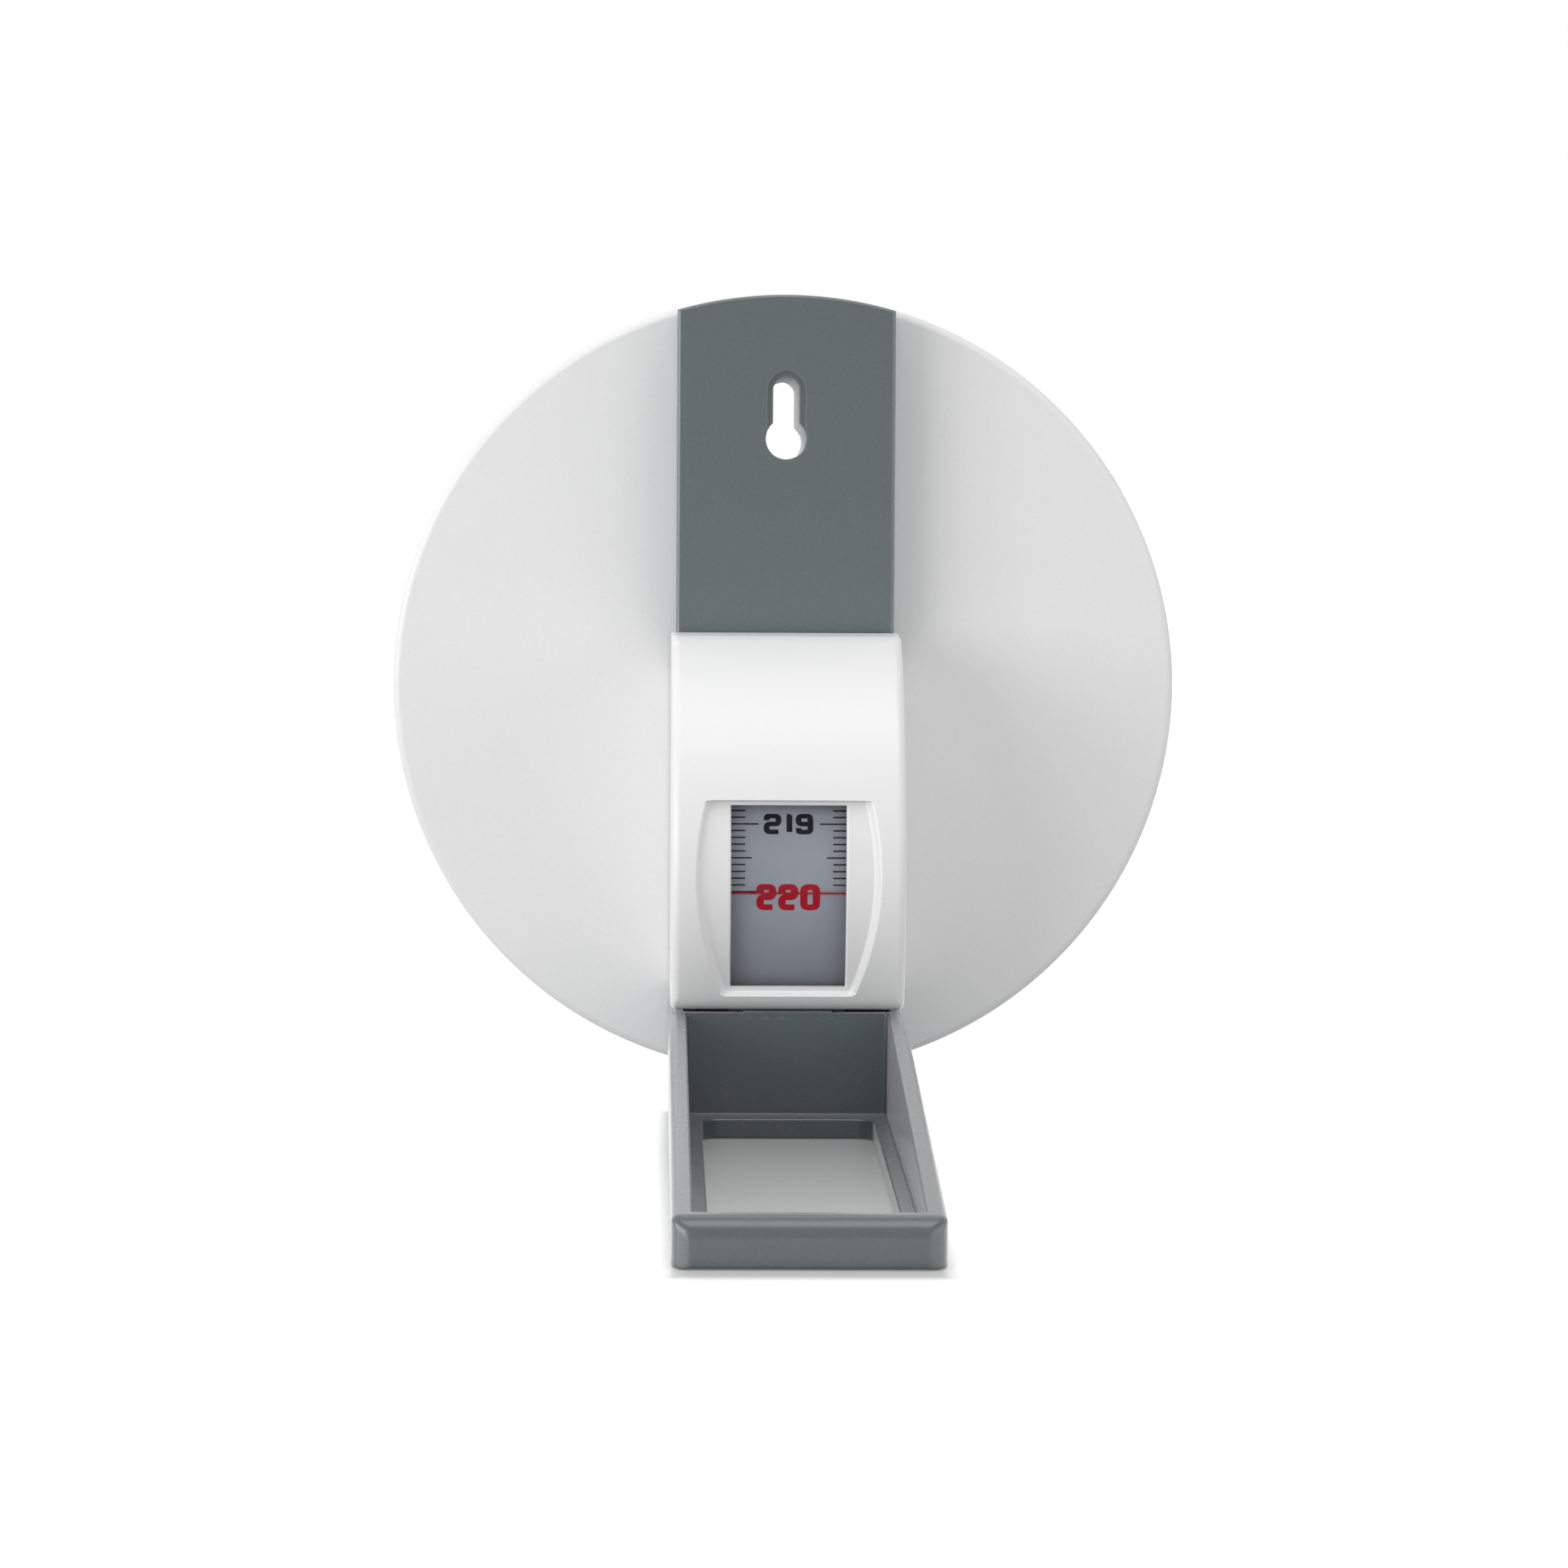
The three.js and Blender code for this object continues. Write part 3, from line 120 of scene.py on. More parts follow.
# Printed numbers: a digit's width and height, the weight of its strokes and the gap between digits
BLACK_NUMBER = (2.6 * MM, 3.05 * MM, 0.86 * MM, 0.25 * MM)
RED_NUMBER = (2.95 * MM, 3.9 * MM, 1.1 * MM, 0.28 * MM)
RED_NUMBER_DROP = 0.8 * MM
CENTIMETRE = 10 * MM
INK_LIFTS = (0.01 * MM, 0.03 * MM)
LEVEL_STROKE_SHARE = 0.8
STROKE_CORNER_SHARE = 0.55
CORNER_LEG_SHARE = 0.45
ONE_WIDTH_SHARE = 0.62
STROKES = {
    "0": [(-1, 0), (-1, 1), (1, 1), (1, -1), (-1, -1), (-1, 0)],
    "1": [(-0.7, 1), (0.35, 1), (0.35, -1)],
    "2": [(-1, 0.45), (-1, 1), (1, 1), (1, 0), (-1, 0), (-1, -1), (1, -1)],
    "9": [(1, 0), (-1, 0), (-1, 1), (1, 1), (1, -1), (-1, -1), (-1, -0.5)],
}

# Small sizes of the back run, the coil and the guide roller
BACK_RUN_SLICES = 24
COIL_LAYERS = 11
LAYER_INSET = 0.12 * MM
ROLLER_INNER = 8.9 * MM
ROLLER_OUTER = 10.3 * MM
ROLLER_HUB_RADIUS = 3.4 * MM
ROLLER_BORE_RADIUS = 1.8 * MM
ROLLER_RIM = 1.4 * MM
ROLLER_WEB_HALF = 2 * MM
ROLLER_EDGE = 0.2 * MM
SPOKE_COUNT = 6
SPOKE_HALF = 0.5 * MM
SPOKE_SINK = 0.3 * MM
SPOKE_INSET = 0.8 * MM

# Rows of marks, in millimetres: the step, and how far from the middle they begin on either side
MARK_ROWS = ((1, 6.36, 6.6), (5, 5.4, 5.64), (10, 4.38, 4.62))

# Studio: each light's place, its width and height, and its share of the power; the sky fades in
# between two heights, and the camera's sensor is in millimetres
LIGHT_AIM = (0, -0.03, -0.01)
SIDE_LIGHT_SIZE = (1.7, 0.6)
LEFT_LIGHT = ((-1.15, -0.7, 0.24), SIDE_LIGHT_SIZE, 2.5)
RIGHT_LIGHT = ((1.1, -0.75, 0.24), SIDE_LIGHT_SIZE, 0.85)
TOP_LIGHT = ((0, -0.4, 1.1), (1.0, 0.7), 1)
SKY_FADE = (-0.2, 0.7)
SENSOR_WIDTH = 36
CLIP_END = 20
FLOOR_SIZE = 8
FLOOR_DROP = 0.1 * MM

# The floor's dark place under the tongue, in metres on the floor, the depths and levels of a weak painted
# glow there that leaves painted shade at the far end, and how white the floor glows
SHADOW_MIDDLE = -0.09
SHADOW_HALF_LENGTH = 0.075
SHADOW_HALF_WIDTH = 0.0165
SHADOW_END_SHARE = 0.8
SHADOW_BLUR = 0.0045
PAINTED_SHADE_DEPTHS = (-0.05, -0.13)
PAINTED_GLOW_LEVELS = (0.06, 0.24)
FLOOR_WHITE = 0.95


# Sizes and colours that a user would change
def length(name, default, description):
    return FloatProperty(
        name=name, description=description, default=default * MM, unit="LENGTH", precision=5)


def angle(name, default, description):
    return FloatProperty(
        name=name, description=description, default=math.radians(default), unit="ROTATION")


def colour(name, default, description):
    return FloatVectorProperty(
        name=name, description=description, default=default, size=3, subtype="COLOR", min=0, max=1)


class PlateSizes(bpy.types.PropertyGroup):
    """The round plate on the wall, and the anchor of the tape"""
    radius: length("Radius", 60, "Radius of the round plate")
    thickness: length("Thickness", 2.6, "Thickness of the plate")
    rim_radius: length("Rim radius", 1.2, "Rounding of the front rim")
    back_chamfer: length("Back chamfer", 0.4, "Chamfer of the back rim")
    anchor_bottom: length("Anchor bottom", 14, "Height of the anchor's lower edge")
    anchor_height: length("Anchor height", 10, "Height of the anchor")
    anchor_half: length("Anchor half width", 12.5, "Half the anchor's width")
    anchor_corner: length("Anchor corner", 1.5, "Rounding of the anchor's corners")
    anchor_face: length("Anchor face depth", 4.8, "Depth of the face that the tape lies on")
    clamp_back: length("Clamp back depth", 5.6, "Depth of the clamp's back")
    clamp_front: length("Clamp front depth", 6.5, "Depth of the clamp's front")
    screw_x: length("Clamp screw place", 10.4, "Distance of a clamp screw from the middle")
    collar: length("Collar width", 1.4, "Width of the collar round the keyhole")
    collar_face: length("Collar face depth", 8, "Depth of that collar's front face")
    keyhole_x: length("Keyhole place across", -0.6, "Place of the plate's keyhole across")
    keyhole_z: length("Keyhole height", 37.1, "Height of the plate's keyhole")


class ChannelSizes(bpy.types.PropertyGroup):
    """The channel of the head frame, above and behind the cover"""
    back: length("Back depth", 3, "Depth of the back edge")
    front: length("Front depth", 11, "Depth of the front face")
    inner: length("Inner depth", 9, "Depth of the inside of the front wall")
    half: length("Half width", 16.55, "Half the channel's width")
    arc_radius: length("Arc radius", 59.8, "Radius of the arched top")
    wall: length("Wall", 2.2, "Thickness of the side walls")
    narrow_half: length("Narrow half width", 14.9, "Half the width inside the cover")
    neck_z: length("Neck height", 11.0942, "Height where the narrow part begins")
    parting_z: length("Parting height", -0.4058, "Lowest point of the curve between channel and cover")
    parting_height: length("Parting curve", 9, "Height of that curve")
    front_bottom: length("Front wall bottom", -43.0651, "Lower edge of the front wall")
    slot_front: length("Slot depth", 8.3, "Depth of the slot that passes the anchor")
    rib_width: length("Rib width", 4, "Width of a stop rib")
    rib_height: length("Rib height", 2.4, "Height of a stop rib")
    keyhole_z: length("Keyhole height", 38, "Height of the keyhole's round hole")
    keyhole_radius: length("Keyhole radius", 3.1, "Radius of the keyhole's round hole")
    slot_width: length("Slot width", 4, "Width of the keyhole's slot")
    slot_reach: length("Slot reach", 9.4, "From the round hole's centre to the top of the slot")
    recess_width: length("Recess width", 5.8, "Width of the step round the slot")
    recess_depth: length("Recess depth", 1, "Depth of the step round the slot")


class FootSizes(bpy.types.PropertyGroup):
    """The hollow foot and the measuring tongue"""
    floor_z: length("Floor height", -64.4651, "Height of the measuring face")
    top_z: length("Top height", -46.4151, "Height of the foot's top, under the cover")
    half: length("Half width", 17.55, "Half the foot's width")
    wall: length("Wall", 2.2, "Thickness of the foot's walls")
    floor: length("Floor", 1.5, "Thickness of the foot's floor")
    shoulder_width: length("Shoulder width", 1.2, "Width of the rounded shoulder")
    shoulder_height: length("Shoulder height", 4.5, "Height of the rounded shoulder")
    back: length("Tongue back depth", 38.0848, "Depth of the tongue's back wall")
    front: length("Tongue front depth", 161.4, "Depth of the tongue's tip")
    front_height: length("Tongue front height", 6.5, "Height of the tongue's tip")
    front_wall: length("Tongue front wall", 4, "Thickness of the tip's wall")
    tray_floor: length("Tray floor", 2.9, "Thickness of the tray's floor")
    tip_round: length("Tip rounding", 2.6, "Rounding of the tip's upper edge")
    toe_round: length("Toe rounding", 0.6, "Rounding of the tip's lower edge")
    corner: length("Corner", 3, "Rounding of the tongue's corners, seen from above")
    pocket_corner: length("Tray corner", 0.6, "Rounding of the tray's corners")
    pocket_rim: length("Tray half width at the rim", 14.9, "Half the tray's width at the top")
    pocket_floor: length("Tray half width at the floor", 14.8, "Half the tray's width at the floor")
    opening_half: length("Opening half width", 12.65, "Half the width of the opening in the floor")
    opening_ledge: length("Opening ledge", 4.4, "Floor left at both ends of the opening")
    lip_half: length("Lip half width", 6.6, "Half the width of the lip on the back wall")
    rim_round: length("Rim rounding", 1, "Rounding of the tongue's outer rim")


class CoverSizes(bpy.types.PropertyGroup):
    """The bulging cover with its reading window"""
    centre_depth: length("Bulge centre depth", 6.8344, "Depth of the bulge's centre")
    centre_z: length("Bulge centre height", -26.5068, "Height of the bulge's centre")
    radius: length("Bulge radius", 37.7, "Radius of the bulge")
    wall: length("Wall", 2.4, "Thickness of the front")
    side_wall: length("Side wall", 2.1, "Thickness of the sides")
    half: length("Half width", 17.3, "Half the cover's width")
    top_z: length("Top height", 8.5942, "Height of the flat top")
    top_depth: length("Top depth", 20.59, "Depth where the top meets the bulge")
    top_round: length("Top rounding", 1.4, "Length of the soft corner above the bulge")
    bottom_z: length("Bottom height", -45.9151, "Height of the lower edge")
    seat: length("Seat depth", 11.3, "Depth of the cover's seat on the channel")
    edge_round: length("Edge rounding", 1.4, "Rounding of the front's side edges")
    flat_round: length("Flat edge rounding", 0.9, "Rounding of the top's and the bottom's side edges")
    chin_round: length("Chin rounding", 1.9, "Rounding of the lower front edge")
    recess_depth: length("Recess depth", 1.2, "Depth of the recess round the window")
    recess_top: length("Recess top", -14.7651, "Upper edge of the recess")
    recess_bottom: length("Recess bottom", -42.85, "Lower edge of the recess")
    recess_top_half: length("Recess half width, top", 11.1, "Half the recess's width at the top")
    recess_middle_half: length("Recess half width, middle", 12.3, "Half the width at mid height")
    recess_bottom_half: length("Recess half width, bottom", 8.95, "Half the width at the bottom")
    recess_flare: length("Recess flare", 1.4, "Width of the recess's soft walls")
    recess_low_flare: length("Recess low flare", 0.9, "Width of the recess's lower wall")
    recess_top_flare: length("Recess top flare", 0.3, "Width of the recess's steep upper wall")
    window_half: length("Window half width", 8.48, "Half the window's width")
    window_top: length("Window top", -15.2651, "Upper edge of the window")
    window_bottom: length("Window bottom", -42.2651, "Lower edge of the window")
    lens_radius: length("Lens radius", 35, "Outer radius of the curved window")
    lens_thickness: length("Lens thickness", 1, "Thickness of the clear window")
    lens_margin: length("Lens margin", 1.32, "How far the window reaches behind the cover")
    boss_radius: length("Boss radius", 2.7, "Radius of a screw boss")
    screw_x: length("Screw place", 9.5, "Distance of a cover screw from the middle")
    screw_z: length("Screw height", 3.9942, "Height of the cover screws")
    index_angle: angle("Index angle", -3.1, "Where on the curve the index line stands")
    index_width: length("Index width", 0.29, "Width of the index line")


class TapeSizes(bpy.types.PropertyGroup):
    """The steel tape and its print"""
    half: length("Half width", 8.6, "Half the tape's width")
    thickness: length("Thickness", 0.2, "Thickness of the tape")
    radius: length("Window radius", 33.1, "Radius of the tape's inside behind the window")
    leave_angle: angle("Leave angle", 27, "Where the tape leaves the coil")
    end_angle: angle("End angle", -45, "Where the straight run begins")
    wrap_radius: length("Wrap radius", 8.9, "Radius of the tape's inside on the roller")
    roller_depth: length("Roller depth", 14.2, "Depth of the roller's pin")
    roller_z: length("Roller height", -53.3651, "Height of the roller's pin")
    back_depth: length("Back run depth", 5.1, "Depth of the tape on the wall side")
    last_mark_angle: angle("Last mark angle", -2.87, "Where the last graduation mark stands")
    mark_width: length("Mark width", 0.23, "Width of a graduation mark")


class ReelSizes(bpy.types.PropertyGroup):
    """The reel, its axle and the guide roller"""
    depth: length("Reel depth", 25.1, "Depth of the reel's axle")
    z: length("Reel height", -17.2, "Height of the reel's axle")
    coil_radius: length("Coil radius", 12.3, "Outer radius of the wound tape")
    hub_radius: length("Hub radius", 7.55, "Outer radius of the hub")
    roller_radius: length("Roller radius", 8.6, "Radius of the guide roller")
    roller_lip: length("Roller lip", 0.7, "Height of the roller's flanges")
    screw_radius: length("Screw radius", 1, "Radius of a screw's shank")
    head_radius: length("Screw head radius", 1.9, "Radius of a screw's head")
    head_height: length("Screw head height", 0.9, "Height of a screw's head")


class FinishColours(bpy.types.PropertyGroup):
    """Colours of the finishes"""
    plate: colour("Plate", (0.86, 0.86, 0.865), "Light gray-white of the round plate")
    cover: colour("Cover", (0.85, 0.85, 0.855), "White of the cover")
    frame: colour("Frame", (0.06, 0.081, 0.087), "Blue-gray of the head frame")
    inner: colour("Inner parts", (0.05, 0.055, 0.06), "Dark gray of the reel and its frame")
    tape: colour("Tape", (0.25, 0.262, 0.292), "Silver enamel of the tape")
    ink: colour("Ink", (0.004, 0.0045, 0.007), "Black of the graduation")
    red: colour("Red", (0.3, 0.002, 0.012), "Red of the index and the last number")
    steel: colour("Steel", (0.6, 0.61, 0.62), "Zinc-plated steel")
    brass: colour("Brass", (0.6, 0.45, 0.2), "Turned brass")
    floor: colour("Floor", (0.4, 0.4, 0.4), "Pale floor")


class StudioSettings(bpy.types.PropertyGroup):
    """Camera and lights"""
    camera_place: FloatVectorProperty(
        name="Camera place", description="Where the camera stands", size=3,
        default=(-0.0203, -0.8526, 0.05), subtype="TRANSLATION", unit="LENGTH")
    yaw: angle("Yaw", 1.38, "How far the camera turns to the right")
    pitch: angle("Pitch", 4.38, "How far the camera looks down")
    roll: angle("Roll", 0.35, "How far the camera tilts")
    lens: FloatProperty(
        name="Lens", description="Focal length on a 36 mm sensor, in millimetres", default=127.2)
    sky_low: FloatProperty(name="Low sky", description="Strength of the light from below", default=0.24)
    sky_high: FloatProperty(name="High sky", description="Strength of the light from above", default=0.6)
    side_light: FloatProperty(
        name="Side lights", description="Power of each side light", default=4.4, unit="POWER")
    top_light: FloatProperty(
        name="Top light", description="Power of the light above", default=3.6, unit="POWER")


class HeightMeasure(bpy.types.PropertyGroup):
    """All the sizes of the height measure"""
    plate: PointerProperty(type=PlateSizes)
    channel: PointerProperty(type=ChannelSizes)
    foot: PointerProperty(type=FootSizes)
    cover: PointerProperty(type=CoverSizes)
    tape: PointerProperty(type=TapeSizes)
    reel: PointerProperty(type=ReelSizes)
    colours: PointerProperty(type=FinishColours)
    studio: PointerProperty(type=StudioSettings)


# Outlines
def arc(centre, reach, start, stop, steps=None):
    """Points of an arc, or of an ellipse where reach holds two numbers."""
    across, up = reach if isinstance(reach, tuple) else (reach, reach)
    steps = steps or max(2, round(abs(stop - start) / math.radians(6)))
    turns = [start + (stop - start) * i / steps for i in range(steps + 1)]
    return [(centre[0] + across * math.cos(t), centre[1] + up * math.sin(t)) for t in turns]


def rounded(corners, steps=8):
    """An outline whose corners, each (a, b, radius), are rounded where they have a radius."""
    points = []
    for i, corner in enumerate(corners):
        here = Vector(corner[:2])
        radius = corner[2] if len(corner) > 2 else 0
        if not radius:
            points.append(tuple(here))
            continue
        before = (Vector(corners[i - 1][:2]) - here).normalized()
        after = (Vector(corners[(i + 1) % len(corners)][:2]) - here).normalized()
        half = before.angle(after) / 2
        centre = here + (before + after).normalized() * radius / math.sin(half)
        leg = radius / math.tan(half)
        first = here + before * leg - centre
        last = here + after * leg - centre
        start = math.atan2(first.y, first.x)
        turn = math.atan2(first.x * last.y - first.y * last.x, first.dot(last))
        points += arc(centre, radius, start, start + turn, steps)
    return points


def box_outline(left, right, low, high, radius=0):
    corners = ((left, low), (right, low), (right, high), (left, high))
    return rounded([(*corner, radius) for corner in corners])


def keyhole_outline(x, z, radius, reach, width):
    half = width / 2
    meet = math.acos(half / radius)
    slot_top = (x, z + reach - half)
    return arc((x, z), radius, meet, -math.pi - meet, 48) + arc(slot_top, half, math.pi, 0, 24)


# Modelling, as by hand
def clear_selection():
    if bpy.context.mode != "OBJECT":
        bpy.ops.object.mode_set(mode="OBJECT")
    bpy.ops.object.select_all(action="DESELECT")


def pick(piece):
    clear_selection()
    piece.select_set(True)
    bpy.context.view_layer.objects.active = piece


def face_outwards(piece, merge=0.001 * MM):
    pick(piece)
    bpy.ops.object.mode_set(mode="EDIT")
    bpy.ops.mesh.select_all(action="SELECT")
    bpy.ops.mesh.remove_doubles(threshold=merge)
    bpy.ops.mesh.normals_make_consistent(inside=False)
    bpy.ops.object.mode_set(mode="OBJECT")


def loft(name, sections):
    """A capped solid through sections, each a list of as many points."""
    count = len(sections[0])
    clear_selection()
    bpy.ops.mesh.primitive_circle_add(vertices=count, radius=1)
    piece = bpy.context.active_object
    piece.name = name
    bpy.ops.object.mode_set(mode="EDIT")
    bpy.ops.mesh.select_all(action="SELECT")
    bpy.ops.mesh.edge_face_add()
    for _ in sections[1:]:
        bpy.ops.mesh.extrude_region_move(TRANSFORM_OT_translate={"value": (0, 0, 1)})
    bpy.ops.object.mode_set(mode="OBJECT")
    start = piece.data.vertices[0].co.copy()
    for vertex in piece.data.vertices:
        turn = math.atan2(
            start.x * vertex.co.y - start.y * vertex.co.x, start.x * vertex.co.x + start.y * vertex.co.y)
        place = round(turn / (2 * math.pi) * count) % count
        vertex.co = sections[round(vertex.co.z)][place]
    face_outwards(piece)
    return piece


def from_side(name, outline, left, right):
    """An outline in (depth, z), filled between two places across."""
    return loft(name, [[(x, -d, z) for d, z in outline] for x in (left, right)])


def from_front(name, outline, near, far):
    """An outline in (x, z), filled between two depths."""
    return loft(name, [[(x, -depth, z) for x, z in outline] for depth in (near, far)])


def from_above(name, outline, low, high):
    """An outline in (x, depth), filled between two heights."""
    return loft(name, [[(x, -d, z) for x, d in outline] for z in (low, high)])


def block(name, left, right, near, far, low, high):
    return from_front(name, box_outline(left, right, low, high), near, far)


def turned_solid(name, profile, x, z, steps=48):
    """A round solid on an axis out from the wall; its profile is in (radius, depth)."""
    turns = [2 * math.pi * i / steps for i in range(steps)]
    return loft(name, [
        [(x + radius * math.cos(turn), -depth, z + radius * math.sin(turn)) for turn in turns]
        for radius, depth in profile])


def screw_hole(x, z, near, far, steps=48):
    return turned_solid("Hole", [(SCREW_HOLE_RADIUS, near), (SCREW_HOLE_RADIUS, far)], x, z, steps)


def side_block(name, side, inner, outer, near, far, low, high):
    """A block on one side of the middle, between two distances from it."""
    left, right = sorted((side * inner, side * outer))
    return block(name, left, right, near, far, low, high)


def turned_ring(name, profile, depth, z, steps=96):
    """A ring on an axis across; its closed profile is in (radius, x)."""
    clear_selection()
    bpy.ops.mesh.primitive_circle_add(vertices=len(profile), radius=MM)
    piece = bpy.context.active_object
    piece.name = name
    for vertex, (radius, x) in zip(piece.data.vertices, profile):
        vertex.co = (x, -depth, z + radius)
    bpy.ops.object.mode_set(mode="EDIT")
    bpy.ops.mesh.select_all(action="SELECT")
    bpy.ops.mesh.spin(steps=steps, angle=2 * math.pi, center=(0, -depth, z), axis=(1, 0, 0))
    bpy.ops.object.mode_set(mode="OBJECT")
    face_outwards(piece)
    return piece


def apply_modifier(piece, kind, **settings):
    pick(piece)
    modifier = piece.modifiers.new(kind.title(), kind)
    for name, value in settings.items():
        setattr(modifier, name, value)
    bpy.ops.object.modifier_apply(modifier=modifier.name)


def combine(piece, operation, tools):
    for tool in tools:
        apply_modifier(piece, "BOOLEAN", operation=operation, solver="EXACT", object=tool)
        mesh = tool.data
        bpy.data.objects.remove(tool)
        bpy.data.meshes.remove(mesh)
    return piece


def cut(piece, *tools):
    return combine(piece, "DIFFERENCE", tools)


def join(piece, *others):
    return combine(piece, "UNION", others)


def round_edges(piece, radius, segments, radius_at):
    """Rounds sharp edges; radius_at gives an edge's radius from its two ends, as (x, depth, z)."""
    face_outwards(piece, 0.004 * MM)
    mesh = bmesh.new()
    mesh.from_mesh(piece.data)
    weight = mesh.edges.layers.float.new("bevel_weight_edge")
    for edge in mesh.edges:
        if edge.is_manifold and edge.calc_face_angle() > SHARP:
            ends = [(v.co.x, -v.co.y, v.co.z) for v in edge.verts]
            edge[weight] = min(1, radius_at(*ends) / radius)
    mesh.to_mesh(piece.data)
    mesh.free()
    apply_modifier(
        piece, "BEVEL", limit_method="WEIGHT", width=radius, segments=segments, use_clamp_overlap=False)
    return piece


def smooth(piece, limit=30):
    """Smooth shading with the flat faces kept flat."""
    pick(piece)
    bpy.ops.object.shade_smooth_by_angle(angle=math.radians(limit))
    apply_modifier(piece, "WEIGHTED_NORMAL", keep_sharp=True)
    return piece


def copy_piece(piece, name):
    twin = piece.copy()
    twin.data = piece.data.copy()
    twin.name = name
    bpy.context.collection.objects.link(twin)
    return twin


def move_piece(piece, x, depth, z):
    piece.data.transform(Matrix.Translation((x, -depth, z)))
    return piece


def dress(piece, slot, material, *nodes):
    """Gives a finished piece its material and hides the nodes that it stands for; the slot is not used.
    """
    piece.data.materials.clear()
    piece.data.materials.append(material)
    if nodes:
        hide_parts(*nodes)
    return piece


def set_piece(piece, body, slot, material, *nodes):
    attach(piece, body)
    return dress(piece, slot, material, *nodes)


# Materials
def node(tree, kind, inputs=None, **settings):
    made = tree.nodes.new(kind)
    for name, value in settings.items():
        setattr(made, name, value)
    for key, value in (inputs or {}).items():
        socket = made.inputs[key]
        if isinstance(value, bpy.types.NodeSocket):
            tree.links.new(value, socket)
        else:
            socket.default_value = value
    return made


def maths(tree, operation, a, b=0.5):
    return node(tree, "ShaderNodeMath", {0: a, 1: b}, operation=operation).outputs[0]


def object_place(tree):
    return node(tree, "ShaderNodeTexCoord").outputs["Object"]


def stretched(tree, place, scale):
    return node(tree, "ShaderNodeMapping", {"Vector": place, "Scale": scale}).outputs[0]


def noise(tree, place, scale, detail):
    return node(
        tree, "ShaderNodeTexNoise", {"Vector": place, "Scale": scale, "Detail": detail}).outputs[0]


def ramp(tree, value, start, stop, low=0, high=1):
    """A value that goes from low to high as it passes from start to stop."""
    return node(
        tree, "ShaderNodeMapRange",
        {"Value": value, "From Min": start, "From Max": stop, "To Min": low, "To Max": high}).outputs[0]


def swing(tree, value, amount, middle):
    """A noise value round a half, turned into a small swing round another middle."""
    return maths(tree, "ADD", maths(tree, "MULTIPLY", maths(tree, "SUBTRACT", value), amount), middle)


def fine_bump(tree, height, strength, distance):
    return node(
        tree, "ShaderNodeBump",
        {"Strength": strength, "Distance": distance, "Height": height}).outputs[0]


def ray_to_background(tree):
    """1 for the rays that show the background, in view, in gloss and through the window."""
    path = node(tree, "ShaderNodeLightPath").outputs
    seen = maths(tree, "MAXIMUM", path["Is Camera Ray"], path["Is Glossy Ray"])
    return maths(tree, "MAXIMUM", seen, path["Is Transmission Ray"])


def new_group(name, inputs, outputs):
    """A node group; inputs are named numbers with defaults, outputs are names with kinds."""
    group = bpy.data.node_groups.new(name, "ShaderNodeTree")
    for socket, default in inputs.items():
        made = group.interface.new_socket(socket, in_out="INPUT", socket_type="NodeSocketFloat")
        made.default_value = default
    for socket, kind in outputs.items():
        group.interface.new_socket(socket, in_out="OUTPUT", socket_type=f"NodeSocket{kind}")
    start = group.nodes.new("NodeGroupInput")
    end = group.nodes.new("NodeGroupOutput")
    return group, start.outputs, end


def moulded_surface_group():
    """Fine grain, specks and slow unevenness of moulded plastic."""
    group, given, end = new_group(
        "Moulded surface",
        {"Grain": 0.1, "Specks": 0.1, "Unevenness": 0.03, "Roughness": 0.4},
        {"Tone": "Float", "Specks": "Float", "Roughness": "Float", "Normal": "Vector"})
    place = object_place(group)
    grain = noise(group, place, 4200, 3)
    slow = noise(group, place, 38, 2)
    streak = noise(group, stretched(group, place, (1, 1, 0.8)), 160, 4)
    sparse = ramp(group, noise(group, place, 2600, 4), 0.5, 0.75)
    mixed = maths(group, "ADD", maths(group, "SUBTRACT", slow), maths(group, "SUBTRACT", streak))
    results = {
        "Tone": maths(group, "ADD", maths(group, "MULTIPLY", mixed, given["Unevenness"]), 1),
        "Specks": maths(group, "MULTIPLY", sparse, given["Specks"]),
        "Roughness": swing(group, streak, 0.04, given["Roughness"]),
        "Normal": fine_bump(group, grain, given["Grain"], 0.05 * MM),
    }
    for socket, value in results.items():
        group.links.new(value, end.inputs[socket])
    return group


def worn_and_sheen_edges_group():
    """A mask of the edges, where a moulded piece is rubbed bright and dust gathers, and where a sheen is
    painted on as lighter colour.
    """
    group, given, end = new_group("Worn and sheen-painted edges", {"Amount": 0.3}, {"Mask": "Float"})
    flat = node(group, "ShaderNodeNewGeometry").outputs["Normal"]
    bent_over = node(group, "ShaderNodeBevel", {"Radius": 0.45 * MM}, samples=4).outputs[0]
    alike = node(
        group, "ShaderNodeVectorMath", {0: flat, 1: bent_over}, operation="DOT_PRODUCT").outputs["Value"]
    edge = ramp(group, alike, 0.99, 0.85)
    broken = ramp(group, noise(group, object_place(group), 900, 5), 0.3, 0.65)
    mask = maths(group, "MULTIPLY", maths(group, "MULTIPLY", edge, broken), given["Amount"])
    group.links.new(mask, end.inputs["Mask"])
    return group


